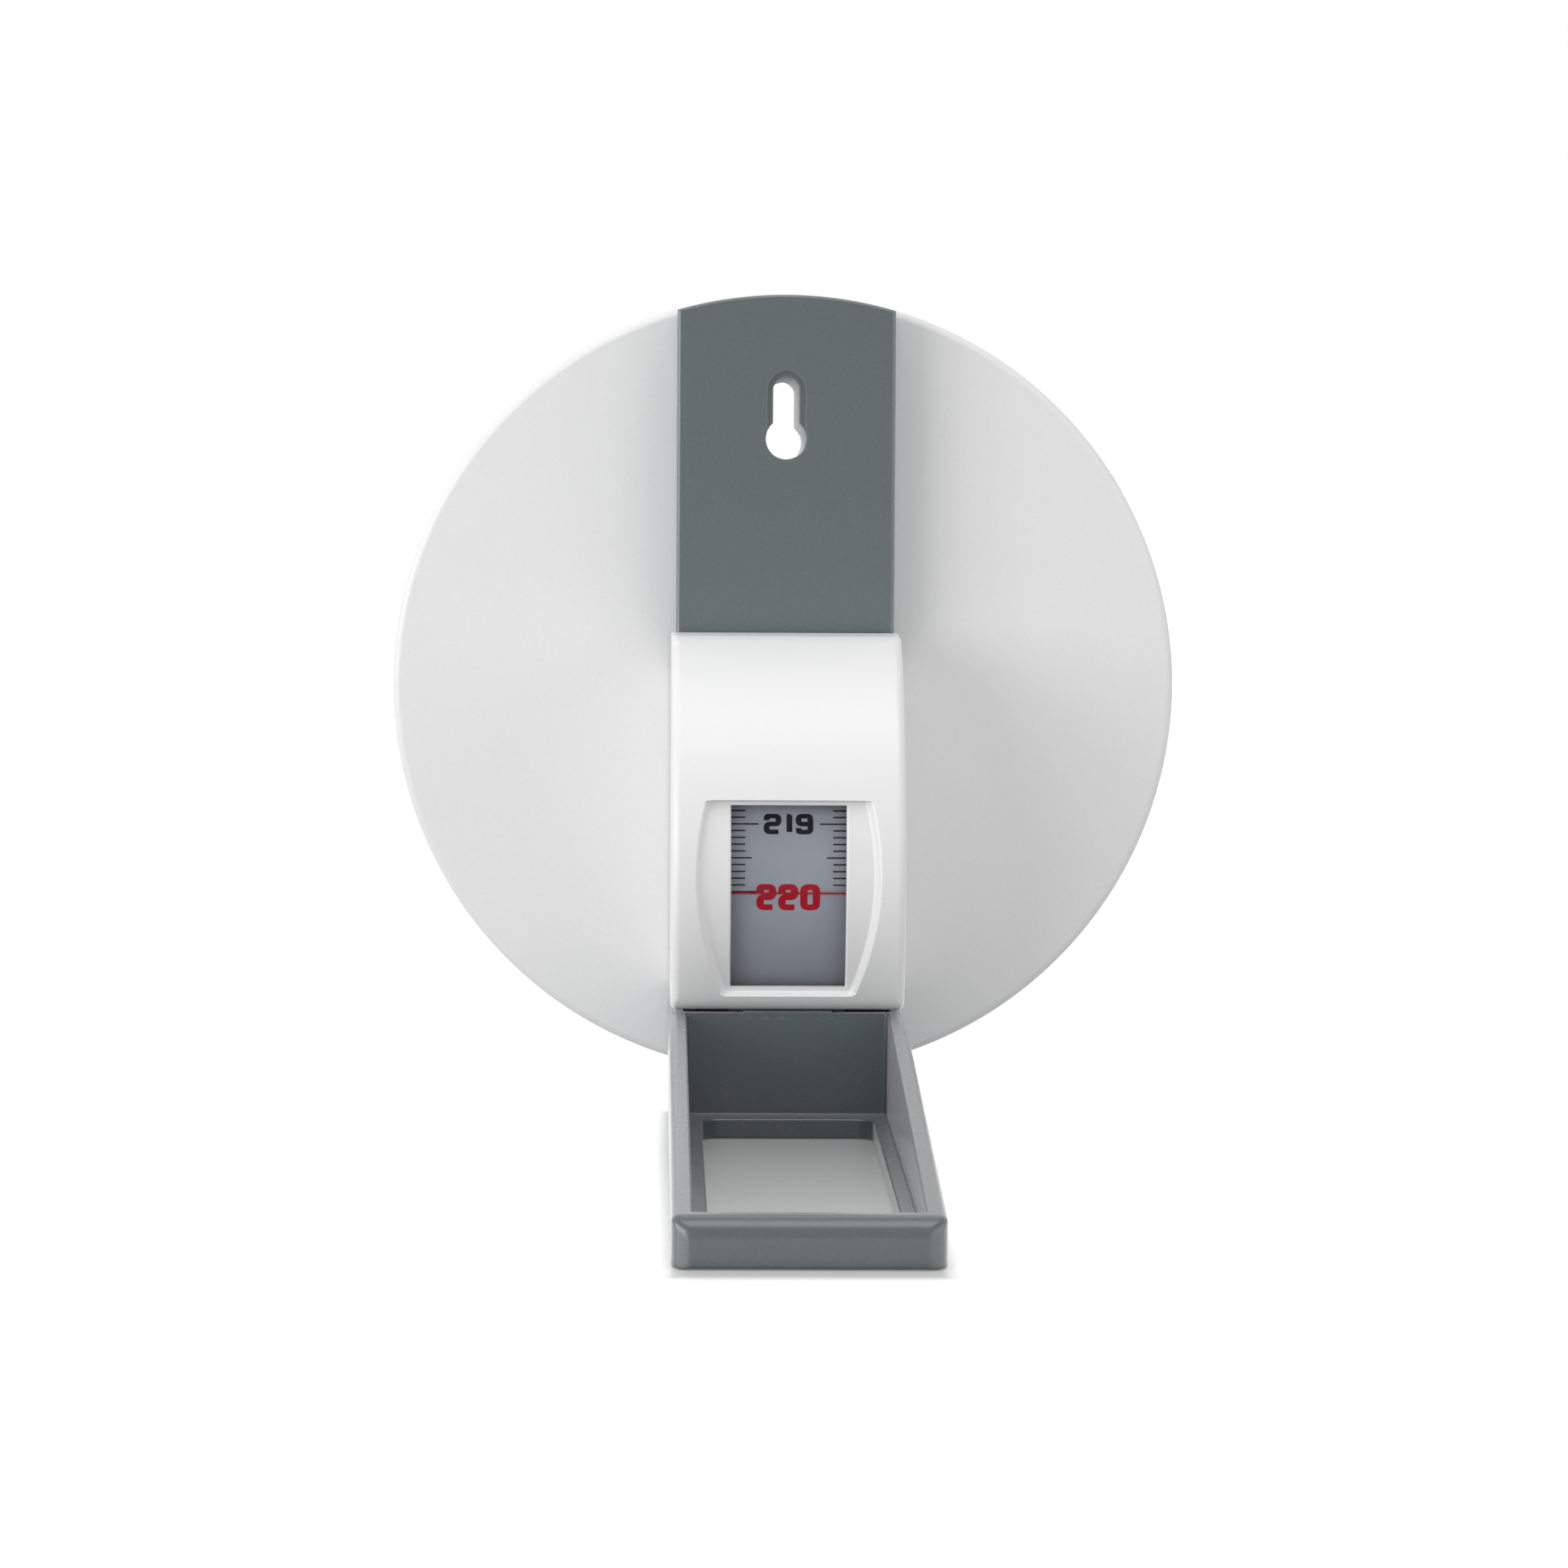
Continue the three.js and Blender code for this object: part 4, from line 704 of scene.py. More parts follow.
def graduation_group():
    """Marks for each millimetre, longer for each fifth and tenth, from both edges of the tape."""
    group, given, end = new_group("Graduation", {"Mark width": 0.23}, {"Mask": "Float"})
    tape_map = node(group, "ShaderNodeUVMap", uv_map="Tape").outputs[0]
    right, along = node(group, "ShaderNodeSeparateXYZ", {0: tape_map}).outputs[:2]
    left = maths(group, "MULTIPLY", right, -1)
    half = maths(group, "MULTIPLY", given["Mark width"])
    marks = None
    for step, from_left, from_right in MARK_ROWS:
        shifted = maths(group, "ADD", along, step / 2)
        into = maths(group, "SUBTRACT", maths(group, "FLOORED_MODULO", shifted, step), step / 2)
        mark = maths(group, "LESS_THAN", maths(group, "ABSOLUTE", into), half)
        beside = maths(
            group, "MAXIMUM", maths(group, "GREATER_THAN", left, from_left),
            maths(group, "GREATER_THAN", right, from_right))
        row = maths(group, "MULTIPLY", mark, beside)
        marks = maths(group, "MAXIMUM", marks, row) if marks else row
    # The last long mark is printed on the left only
    lowest = maths(group, "MULTIPLY", maths(group, "SIGN", right))
    begun = maths(group, "GREATER_THAN", along, lowest)
    group.links.new(maths(group, "MULTIPLY", marks, begun), end.inputs["Mask"])
    return group


def shared_group(name):
    """A node group by its name, made the first time that it is asked for."""
    makers = {
        "Moulded surface": moulded_surface_group,
        "Worn and sheen-painted edges": worn_and_sheen_edges_group,
        "Graduation": graduation_group,
    }
    return bpy.data.node_groups.get(name) or makers[name]()


def start_material(name):
    material = bpy.data.materials.new(name)
    material.use_nodes = True
    tree = material.node_tree
    return material, tree, tree.nodes["Principled BSDF"]


def use_group(tree, name, inputs):
    return node(tree, "ShaderNodeGroup", inputs, node_tree=shared_group(name)).outputs


def tinted(tree, base, tone):
    """The base colour times a tone round 1."""
    grey = node(tree, "ShaderNodeCombineColor", {0: tone, 1: tone, 2: tone}).outputs[0]
    return node(
        tree, "ShaderNodeMix", {0: 1.0, 6: (*base, 1), 7: grey}, data_type="RGBA", blend_type="MULTIPLY",
    ).outputs[2]


def toned(tree, factor, a, b):
    return node(tree, "ShaderNodeMix", {0: factor, 6: a, 7: b}, data_type="RGBA").outputs[2]


def set_sockets(shader, values):
    """Numbers and colours that are the same all over go straight onto the shader."""
    for name, value in values.items():
        shader.inputs[name].default_value = value


def plastic(name, base, surface, speck_colour, worn_and_sheen_colour, worn_and_sheen_amount, constants=None):
    """Moulded plastic with its grain, specks, and edges both rubbed and painted lighter as a sheen."""
    material, tree, shader = start_material(name)
    moulded = use_group(tree, "Moulded surface", surface)
    worn_and_sheen = use_group(tree, "Worn and sheen-painted edges", {"Amount": worn_and_sheen_amount})
    colours = toned(tree, moulded["Specks"], tinted(tree, base, moulded["Tone"]), (*speck_colour, 1))
    # The edges take a lighter colour: partly rubbed wear, partly a painted sheen
    tree.links.new(toned(tree, worn_and_sheen["Mask"], colours, (*worn_and_sheen_colour, 1)), shader.inputs["Base Color"])
    tree.links.new(moulded["Roughness"], shader.inputs["Roughness"])
    tree.links.new(moulded["Normal"], shader.inputs["Normal"])
    set_sockets(shader, {"Coat Roughness": 0.25, "Sheen Roughness": 0.35, **(constants or {})})
    return material


def plate_plastic(colours):
    surface = {"Roughness": 0.36, "Grain": 0.05, "Specks": 0.1, "Unevenness": 0.02}
    return plastic("Plate plastic", colours.plate, surface, (0.62, 0.61, 0.58), (0.9, 0.9, 0.9), 0.3)


def cover_plastic(colours):
    surface = {"Roughness": 0.34, "Grain": 0.06, "Specks": 0.08, "Unevenness": 0.012}
    return plastic("Cover plastic", colours.cover, surface, (0.7, 0.69, 0.66), (0.92, 0.92, 0.92), 0.3)


def frame_plastic(colours):
    surface = {"Roughness": 0.27, "Grain": 0.05, "Specks": 0.1, "Unevenness": 0.04}
    return plastic(
        "Frame plastic", colours.frame, surface, (0.17, 0.19, 0.2), (0.26, 0.27, 0.26), 0.45,
        {"Coat Weight": 0.8, "Sheen Weight": 0.45})


def inner_plastic(colours):
    surface = {"Roughness": 0.5, "Grain": 0.12, "Specks": 0.3, "Unevenness": 0.12}
    return plastic("Inner plastic", colours.inner, surface, (0.11, 0.11, 0.11), (0.13, 0.13, 0.13), 0.4)


def metal(name, base, roughness, across_scale):
    """Bare metal with dull patches and the fine lines of drawing or turning."""
    material, tree, shader = start_material(name)
    place = object_place(tree)
    lines = noise(tree, stretched(tree, place, (across_scale, 1, 1)), 700, 5)
    dull = noise(tree, place, 260, 3)
    tree.links.new(tinted(tree, base, swing(tree, dull, 0.25, 1)), shader.inputs["Base Color"])
    tree.links.new(swing(tree, lines, 0.3, roughness), shader.inputs["Roughness"])
    tree.links.new(fine_bump(tree, lines, 0.12, 0.03 * MM), shader.inputs["Normal"])
    set_sockets(shader, {"Metallic": 1.0})
    return material


def steel(colours):
    return metal("Plated steel", colours.steel, 0.32, 1)


def brass(colours):
    return metal("Turned brass", colours.brass, 0.35, 40)


def enamel(name, colours, printed, tape):
    """Enamelled steel tape; the graduation follows the tape's own map, in millimetres."""
    material, tree, shader = start_material(name)
    place = object_place(tree)
    cloud = noise(tree, place, 120, 4)
    scratch = noise(tree, stretched(tree, place, (30, 1, 1)), 90, 6)
    scratched = maths(tree, "MULTIPLY", ramp(tree, scratch, 0.68, 0.74), 0.06)
    shade = tinted(tree, colours.tape, swing(tree, cloud, 0.12, 1))
    shade = toned(tree, scratched, shade, (0.7, 0.72, 0.78, 1))
    if printed:
        ink = use_group(tree, "Graduation", {"Mark width": tape.mark_width / MM})["Mask"]
        shade = toned(tree, ink, shade, (*colours.ink, 1))
    tree.links.new(shade, shader.inputs["Base Color"])
    tree.links.new(swing(tree, cloud, 0.15, 0.36), shader.inputs["Roughness"])
    set_sockets(shader, {"Specular IOR Level": 0.12})
    return material


def print_ink(name, base):
    """Printing ink, a little uneven."""
    material, tree, shader = start_material(name)
    cloud = noise(tree, object_place(tree), 900, 4)
    tree.links.new(tinted(tree, base, swing(tree, cloud, 0.5, 1)), shader.inputs["Base Color"])
    set_sockets(shader, {"Roughness": 0.4, "Specular IOR Level": 0.12})
    return material


def clear_plastic():
    """Polished clear plastic with a faint haze of fine scratches."""
    material, tree, shader = start_material("Clear window")
    lines = noise(tree, stretched(tree, object_place(tree), (60, 1, 1)), 60, 6)
    tree.links.new(ramp(tree, lines, 0.55, 0.8, 0, 0.03), shader.inputs["Roughness"])
    set_sockets(shader, {"Base Color": (0.96, 0.97, 0.98, 1), "Transmission Weight": 1.0, "IOR": 1.1})
    return material


def finish(name):
    """A finish by its name, made the first time that it is asked for."""
    colours = bpy.context.scene.height_measure.colours
    tape = bpy.context.scene.height_measure.tape
    makers = {
        "Plate plastic": lambda: plate_plastic(colours),
        "Cover plastic": lambda: cover_plastic(colours),
        "Frame plastic": lambda: frame_plastic(colours),
        "Inner plastic": lambda: inner_plastic(colours),
        "Plated steel": lambda: steel(colours),
        "Turned brass": lambda: brass(colours),
        "Printed tape": lambda: enamel("Printed tape", colours, True, tape),
        "Plain tape": lambda: enamel("Plain tape", colours, False, tape),
        "Black ink": lambda: print_ink("Black ink", colours.ink),
        "Red ink": lambda: print_ink("Red ink", colours.red),
        "Clear window": clear_plastic,
    }
    return bpy.data.materials.get(name) or makers[name]()


# Wall side
def anchor_outline(plate):
    return box_outline(
        -plate.anchor_half, plate.anchor_half, plate.anchor_bottom,
        plate.anchor_bottom + plate.anchor_height, plate.anchor_corner)


def anchor_middle(plate):
    return plate.anchor_bottom + plate.anchor_height / 2


def wall_plate(plate, channel):
    rim = arc(
        (plate.radius - plate.rim_radius, plate.thickness - plate.rim_radius), plate.rim_radius,
        0, math.pi / 2, 10)
    profile = [(plate.radius - plate.back_chamfer, 0), (plate.radius, plate.back_chamfer), *rim]
    disc = turned_solid("wall_plate_disc", profile, 0, 0, 256)
    collar = keyhole_outline(
        plate.keyhole_x, plate.keyhole_z, channel.keyhole_radius + plate.collar,
        channel.slot_reach + plate.collar, channel.slot_width + 2 * plate.collar)
    keyhole = keyhole_outline(
        plate.keyhole_x, plate.keyhole_z, channel.keyhole_radius, channel.slot_reach, channel.slot_width)
    join(
        disc, from_front("Boss", anchor_outline(plate), plate.thickness / 2, plate.anchor_face),
        from_front("Collar", collar, plate.thickness / 2, plate.collar_face))
    cut(
        disc, from_front("Keyhole", keyhole, -OVERRUN, plate.collar_face + OVERRUN),
        *[screw_hole(
            side * plate.screw_x, anchor_middle(plate), plate.thickness, plate.anchor_face + OVERRUN)
          for side in BOTH_SIDES])
    inside = plate.radius - 2 * plate.rim_radius

    def radius_at(a, b):
        if max(math.hypot(a[0], a[2]), math.hypot(b[0], b[2])) > inside:
            return 0
        return BOSS_EDGE if min(a[1], b[1]) > plate.thickness / 2 else FINE_EDGE

    round_edges(disc, BOSS_EDGE, 3, radius_at)
    return smooth(disc)


def tape_clamp(plate):
    clamp = from_front("tape_end_clamp_plate", anchor_outline(plate), plate.clamp_back, plate.clamp_front)
    cut(clamp, *[
        screw_hole(
            side * plate.screw_x, anchor_middle(plate), plate.clamp_back - OVERRUN,
            plate.clamp_front + OVERRUN)
        for side in BOTH_SIDES])
    round_edges(clamp, FINE_EDGE, 2, lambda a, b: FINE_EDGE)
    return smooth(clamp)


def pan_head_screw(reel, shank):
    """A screw with its seat at the origin and its shank of the given length behind it."""
    crown = arc((0, 0), (reel.head_radius, reel.head_height), math.pi / 2, 0.35, 7)[1:]
    profile = [
        (CROWN_FLAT, reel.head_height), *crown, (reel.head_radius, 0), (reel.screw_radius, 0),
        (reel.screw_radius, -shank + TIP_LENGTH), (TIP_SHARE * reel.screw_radius, -shank)]
    screw = turned_solid("Screw", profile, 0, 0)
    half = reel.head_radius * SLOT_REACH_SHARE
    slot = ((-half, -SLOT_HALF), (half, -SLOT_HALF), (half, SLOT_HALF), (-half, SLOT_HALF))
    slots = [
        loft("Slot", [
            [(x * c - w * s, depth - reel.head_height, x * s + w * c) for x, w in slot]
            for depth in (-OVERRUN, SLOT_DEPTH)])
        for c, s in ((1, 0), (0, 1))]
    cut(screw, join(*slots))
    join(screw, *[
        thread_turn(reel, -TIP_LENGTH - i * THREAD_PITCH)
        for i in range(int((shank - THREAD_FREE) / THREAD_PITCH))])
    round_edges(screw, TINY_EDGE, 2, lambda a, b: TINY_EDGE if min(a[1], b[1]) > 0 else 0)
    return smooth(screw, 35)


def thread_turn(reel, depth):
    """One turn of thread, as a ridge round the shank."""
    root, crest = reel.screw_radius * THREAD_ROOT_SHARE, reel.screw_radius * THREAD_CREST_SHARE
    profile = [(root, depth - THREAD_HALF), (crest, depth), (root, depth + THREAD_HALF)]
    return turned_solid("Thread", profile, 0, 0, 24)


def place_screw(pattern, name, x, depth, z, facing_wall=False):
    screw = copy_piece(pattern, name)
    if facing_wall:
        screw.data.transform(Matrix.Rotation(math.pi, 4, "Z"))
    return move_piece(screw, x, depth, z)


# Head frame
def channel_outline(half, radius, low):
    spread = math.asin(half / radius)
    top = arc((0, 0), radius, math.pi / 2 - spread, math.pi / 2 + spread, 40)
    return [(half, low), *top, (-half, low)]


def parting_curve(channel, cover, clearance):
    reach = (channel.back - cover.seat - clearance, channel.parting_height + clearance)
    return arc((cover.seat, channel.parting_z), reach, 0, math.pi / 2, 24)


def channel_body(channel, foot, cover, plate):
    back, front = channel.back, channel.front
    outline = channel_outline(channel.half, channel.arc_radius, channel.parting_z)
    upper = from_front("Channel", outline, back, front)
    curve = parting_curve(channel, cover, SEAM)
    beyond = cover.seat + OVERRUN
    below = [
        *curve, (beyond, cover.top_z + SEAM), (beyond, channel.parting_z - OVERRUN),
        (curve[0][0], channel.parting_z - OVERRUN)]
    cut(upper, from_side("Below", below, -channel.half - OVERRUN, channel.half + OVERRUN))
    narrow = channel.narrow_half
    inner = narrow - channel.wall
    foot_inner = foot.floor_z + foot.floor
    join(upper, block("Lower", -narrow, narrow, back, front, channel.front_bottom, channel.neck_z), *[
        side_block(
            "Leg", side, inner, narrow, back, front, foot_inner - foot.floor / 2, channel.neck_z)
        for side in BOTH_SIDES])
    hollow = channel_outline(
        channel.half - channel.wall, channel.arc_radius - channel.wall, channel.neck_z)
    slot_half = plate.anchor_half + ANCHOR_CLEARANCE
    cut(
        upper,
        from_front("Hollow", hollow, back - OVERRUN, channel.inner),
        block("Hollow", -inner, inner, back - OVERRUN, channel.inner, foot_inner,
              channel.neck_z + channel.wall),
        block("Slot", -slot_half, slot_half, back - OVERRUN, channel.slot_front,
              plate.anchor_bottom + plate.anchor_height, channel.arc_radius + OVERRUN))
    rib_top = plate.anchor_bottom - GAP
    reach = channel.half - channel.wall
    return join(upper, *[
        side_block(
            "Rib", side, reach - channel.rib_width, reach + channel.wall / 2, back,
            (channel.inner + front) / 2, rib_top - channel.rib_height, rib_top)
        for side in BOTH_SIDES])


def drawn_in(foot, depth, radius):
    """How far a rounding of the tip has come in at a depth."""
    into = max(0, depth - (foot.front - radius))
    return radius - math.sqrt(max(0, radius ** 2 - into ** 2))


def foot_section(foot, depth):
    """The tongue's outline at a depth, with its soft rim and rounded shoulders."""
    tip_top = foot.floor_z + foot.front_height
    slope = (foot.top_z - tip_top) / (foot.front - foot.back)
    sloped = tip_top + slope * (foot.front - depth)
    top = min(foot.top_z, sloped) - drawn_in(foot, depth, foot.tip_round)
    bottom = foot.floor_z + drawn_in(foot, depth, foot.toe_round)
    narrower = drawn_in(foot, depth, foot.corner)
    shoulder = foot.top_z - foot.shoulder_height

    def side_at(z):
        share = min(1, max(0, (z - shoulder) / foot.shoulder_height))
        return foot.half - narrower - foot.shoulder_width * (1 - math.sqrt(1 - share ** 2))

    low, high = bottom + foot.toe_round / 2, top - foot.rim_round
    reach = foot.toe_round / 2
    right = arc((side_at(low) - reach, low), reach, -math.pi / 2, 0, 4)
    right += [(side_at(z), z) for z in (low + (high - low) * i / 8 for i in range(1, 8))]
    right += arc((side_at(high) - foot.rim_round, high), foot.rim_round, 0, math.pi / 2, 8)
    return [(x, -depth, z) for x, z in right] + [(-x, -depth, z) for x, z in right[::-1]]


def foot_body(foot, channel):
    tip = [foot.front - foot.corner * (1 - math.sin(math.radians(7.5 * i))) for i in range(13)]
    along = [foot.back + (tip[0] - foot.back) * i / 12 for i in range(12)]
    depths = (channel.back, *along, *tip)
    return loft("head_frame_moulding", [foot_section(foot, depth) for depth in depths])


def tray_pocket(foot):
    half = foot.pocket_floor
    plan = box_outline(-half, half, foot.back, foot.front - foot.front_wall, foot.pocket_corner)
    floor = foot.floor_z + foot.tray_floor
    top = foot.top_z + OVERRUN
    widening = (foot.pocket_rim / half - 1) * (top - floor) / (foot.top_z - floor)
    return loft("Pocket", [
        [(x * (1 + widening * share), -d, z) for x, d in plan] for z, share in ((floor, 0), (top, 1))])


def pin_seats(reach, tape):
    """A pin through both walls of the foot, to cut the seats of the roller's pin."""
    ring = arc((tape.roller_depth, tape.roller_z), PIN_SEAT_RADIUS, 0, 2 * math.pi, 48)[:-1]
    return from_side("Pin seats", ring, -reach, reach)


def head_frame(sizes):
    channel, foot, cover, plate = sizes.channel, sizes.foot, sizes.cover, sizes.plate
    inner_half = foot.half - foot.wall
    inner_z = foot.floor_z + foot.floor
    body = foot_body(foot, channel)
    opening = box_outline(
        -foot.opening_half, foot.opening_half, foot.back + foot.opening_ledge,
        foot.front - foot.front_wall - foot.opening_ledge, OPENING_CORNER)
    cut(
        body,
        block("Cavity", -inner_half, inner_half, channel.back - OVERRUN, foot.back - foot.wall,
              inner_z, foot.top_z + OVERRUN),
        tray_pocket(foot),
        from_above("Opening", opening, foot.floor_z - OVERRUN, foot.floor_z + foot.tray_floor + OVERRUN))
    join(body, channel_body(channel, foot, cover, plate), *[
        side_block(
            "Tie", side, channel.narrow_half - channel.wall, inner_half + foot.wall / 2, channel.back,
            channel.inner, inner_z - foot.floor / 2, foot.top_z)
        for side in BOTH_SIDES])
    keyhole = keyhole_outline(
        0, channel.keyhole_z, channel.keyhole_radius, channel.slot_reach, channel.slot_width)
    step = channel.recess_width - channel.slot_width
    recess = keyhole_outline(
        0, channel.keyhole_z, channel.keyhole_radius, channel.slot_reach + step / 2, channel.recess_width)
    near, far = channel.inner - OVERRUN, channel.front + OVERRUN
    holes = [(side * cover.screw_x, cover.screw_z) for side in BOTH_SIDES] + frame_screw_places(sizes)
    cut(
        body, pin_seats(inner_half + PIN_SEAT_DEPTH, sizes.tape),
        from_front("Keyhole", keyhole, near, far),
        from_front("Step", recess, channel.front - channel.recess_depth, far),
        *[screw_hole(x, z, near, far, 32) for x, z in holes])
    tray_end = foot.front - foot.front_wall / 2

    def radius_at(a, b):
        if max(a[2], b[2]) < foot.top_z + NEAR:
            tray = min(a[1], b[1]) > foot.back - NEAR and max(a[1], b[1]) < tray_end
            inside = max(abs(a[0]), abs(b[0])) < foot.pocket_rim + TRAY_EDGE
            return TRAY_EDGE if tray and inside else 0
        beside = min(abs(a[0]), abs(b[0])) > channel.half - NEAR
        arched = min(math.hypot(a[0], a[2]), math.hypot(b[0], b[2])) > channel.arc_radius - NEAR
        ahead = min(a[1], b[1]) > channel.front - NEAR
        return FRONT_EDGE if ahead and (beside or arched) else 0

    round_edges(body, FRONT_EDGE, 4, radius_at)
    depths = [foot.back + reach for reach in LIP_DEPTHS]
    heights = [foot.top_z + reach for reach in LIP_HEIGHTS]
    lip = block("Lip", -foot.lip_half, foot.lip_half, *depths, *heights)
    join(body, round_edges(lip, TINY_EDGE, 2, lambda a, b: TINY_EDGE))
    return smooth(body)


def frame_screw_places(sizes):
    reel = sizes.reel
    flange = reel.coil_radius + REEL_FLANGE_LIP
    upper = reel.z + flange - FRAME_BAR_HEIGHT / 2
    lower = reel.z - flange - FRAME_BAR_DROP - FRAME_BAR_HEIGHT / 2
    return [(side * FRAME_SCREW_X, z) for z in (upper, lower) for side in BOTH_SIDES]


# Cover
def bulge_levels(cover):
    """Heights of the bulge's facets, which the recess and the window share."""
    start = math.asin((cover.top_z - cover.centre_z) / cover.radius) - BULGE_LEAD
    stop = math.asin((cover.bottom_z - cover.centre_z) / cover.radius)
    even = [
        cover.centre_z + cover.radius * math.sin(start + (stop - start) * i / BULGE_STEPS)
        for i in range(BULGE_STEPS + 1)]
    fixed = [cover.recess_top, cover.recess_bottom, cover.window_top, cover.window_bottom]
    kept = [z for z in even if min(abs(z - f) for f in fixed) > LEVEL_GAP]
    return sorted(kept + fixed, reverse=True)


def bulge_depth(cover, radius, z):
    return cover.centre_depth + math.sqrt(radius ** 2 - (z - cover.centre_z) ** 2)


def recess_half(cover, z):
    share = (cover.recess_top - z) / (cover.recess_top - cover.recess_bottom)
    ends = cover.recess_top_half + cover.recess_bottom_half
    middle = 2 * cover.recess_middle_half - ends / 2
    return (
        (1 - share) ** 2 * cover.recess_top_half + 2 * share * (1 - share) * middle
        + share ** 2 * cover.recess_bottom_half)


def recess_cutter(cover):
    """Its floor follows the bulge; its walls rise softly, and steeply at the top."""
    far = cover.centre_depth + cover.radius + OVERRUN
    floor_radius = cover.radius - cover.recess_depth
    floor = [z for z in bulge_levels(cover) if cover.recess_bottom <= z <= cover.recess_top]
    steep = [cover.recess_top + cover.recess_top_flare * s / 4 for s in (4, 3, 2, 1)]
    low = [cover.recess_bottom - cover.recess_low_flare * s / 10 for s in range(1, 11)]
    sections = []
    for z in [*steep, *floor, *low]:
        above = (z - cover.recess_top) / cover.recess_top_flare
        below = (cover.recess_bottom - z) / cover.recess_low_flare
        beyond = max(0, above, below)
        half = recess_half(cover, min(cover.recess_top, max(cover.recess_bottom, z)))
        reach = math.sqrt(max(0, 1 - beyond ** 2))
        wall = []
        for s in (reach * i / 9 for i in range(10)):
            share = math.hypot(s, beyond)
            rise = share ** 2 * (3 - 2 * share) + RECESS_TILT_SHARE * share
            near = bulge_depth(cover, floor_radius + cover.recess_depth * rise, z)
            wall.append((half + cover.recess_flare * s, -near, z))
        wall.append((half + cover.recess_flare * reach, -far, z))
        sections.append(wall + [(-x, y, z) for x, y, z in wall[::-1]])
    return loft("Recess", sections)


def bent(start, corner, stop, steps=5):
    """Points of a soft corner."""
    return [
        tuple((1 - s) ** 2 * a + 2 * s * (1 - s) * b + s ** 2 * c for a, b, c in zip(start, corner, stop))
        for s in (i / steps for i in range(steps + 1))]


def inset_outline(outline, amounts):
    """A clockwise outline drawn in, each point by its own amount."""
    points = [Vector(point) for point in outline]
    drawn = []
    for i, (here, amount) in enumerate(zip(points, amounts)):
        before = (here - points[i - 1]).normalized()
        after = (points[(i + 1) % len(points)] - here).normalized()
        inwards = Vector((before.y + after.y, -before.x - after.x))
        drawn.append(tuple(here + inwards * amount / (1 + before.dot(after))))
    return drawn


def cover_side(cover, back):
    """The cover's outline from the side, in (depth, z), and how far each point's edge is rounded."""
    front = [(bulge_depth(cover, cover.radius, z), z) for z in bulge_levels(cover)[:-2]]
    top = bent(
        (cover.top_depth - cover.top_round / 2, cover.top_z), (cover.top_depth, cover.top_z), front[0])
    edge = (bulge_depth(cover, cover.radius, cover.bottom_z), cover.bottom_z)
    chin = bent(front[-1], edge, (edge[0] - cover.chin_round, edge[1]))
    outline = [(back, cover.top_z), *top[:-1], *front, *chin[1:], (back, cover.bottom_z)]
    radii = [
        0 if depth < back + MM else cover.flat_round if z > front[0][1] or z < front[-1][1]
        else cover.edge_round for depth, z in outline]
    return outline, radii


def cover_body(cover, back):
    outline, radii = cover_side(cover, back)
    soft = [math.radians(15 * i) for i in range(7)]
    sections = []
    for side, turns in ((-1, soft), (1, soft[::-1])):
        for turn in turns:
            inset = inset_outline(outline, [r * (1 - math.sin(turn)) for r in radii])
            sections.append([
                (side * (cover.half - r * (1 - math.cos(turn))), -d, z)
                for r, (d, z) in zip(radii, inset)])
    return loft("case_cover_shell", sections)


def cover_hollow(cover, back):
    """The inside of the shell, from the side."""
    inner_radius = cover.radius - cover.wall
    inner_top = cover.top_z - cover.wall
    start = math.asin((inner_top - cover.centre_z) / inner_radius)
    stop = math.asin((cover.bottom_z - cover.centre_z - OVERRUN) / inner_radius)
    return [
        (back - OVERRUN, inner_top),
        *arc((cover.centre_depth, cover.centre_z), inner_radius, start, stop, 64),
        (back - OVERRUN, cover.bottom_z - OVERRUN)]


def cover_lugs(cover, foot):
    """Two lugs that reach into the foot, each with its tie to the cover's side."""
    outer = foot.half - foot.wall - GAP
    inner = outer - LUG_THICKNESS
    side_middle = cover.half - cover.side_wall / 2
    low, middle, high = cover.bottom_z - LUG_REACH, cover.bottom_z, cover.bottom_z + LUG_REACH
    return [
        made for side in BOTH_SIDES for made in (
            side_block("Lug", side, inner, outer, *LUG_DEPTHS, low, high),
            side_block("Tie", side, inner, side_middle, *LUG_DEPTHS, middle, high))]


def case_cover(sizes):
    cover, channel = sizes.cover, sizes.channel
    body = cover_body(cover, channel.back)
    inner_half = cover.half - cover.side_wall
    back = channel.back - OVERRUN
    above = [
        (back, channel.parting_z), *parting_curve(channel, cover, 0),
        (cover.seat, cover.top_z + OVERRUN), (back, cover.top_z + OVERRUN)]
    cut(
        body, from_side("Hollow", cover_hollow(cover, channel.back), -inner_half, inner_half),
        block("Seat", -inner_half, inner_half, back, cover.seat, cover.bottom_z, cover.top_z + OVERRUN),
        from_side("Above", above, -cover.half - OVERRUN, cover.half + OVERRUN),
        recess_cutter(cover),
        block("Window", -cover.window_half, cover.window_half, WINDOW_BACK,
              cover.centre_depth + cover.radius + OVERRUN, cover.window_bottom, cover.window_top))
    floor_radius = cover.radius - cover.recess_depth

    def window_edge(a, b):
        reach = min(math.hypot(p[1] - cover.centre_depth, p[2] - cover.centre_z) for p in (a, b))
        beside = max(abs(a[0]), abs(b[0])) < cover.window_half + NEAR / 2
        outside = min(a[1], b[1]) > WINDOW_FACE and reach > floor_radius - TINY_EDGE
        return WINDOW_EDGE if beside and outside else 0

    round_edges(body, WINDOW_EDGE, 4, window_edge)
    join(body, *[
        turned_solid(
            "Boss", [(cover.boss_radius, cover.seat), (cover.boss_radius, cover.top_depth - BOSS_INSET)],
            side * cover.screw_x, cover.screw_z)
        for side in BOTH_SIDES])
    cut(body, *[
        screw_hole(
            side * cover.screw_x, cover.screw_z, cover.seat - OVERRUN, cover.seat + COVER_HOLE_REACH, 32)
        for side in BOTH_SIDES])
    join(body, *cover_lugs(cover, sizes.foot))
    return smooth(body)


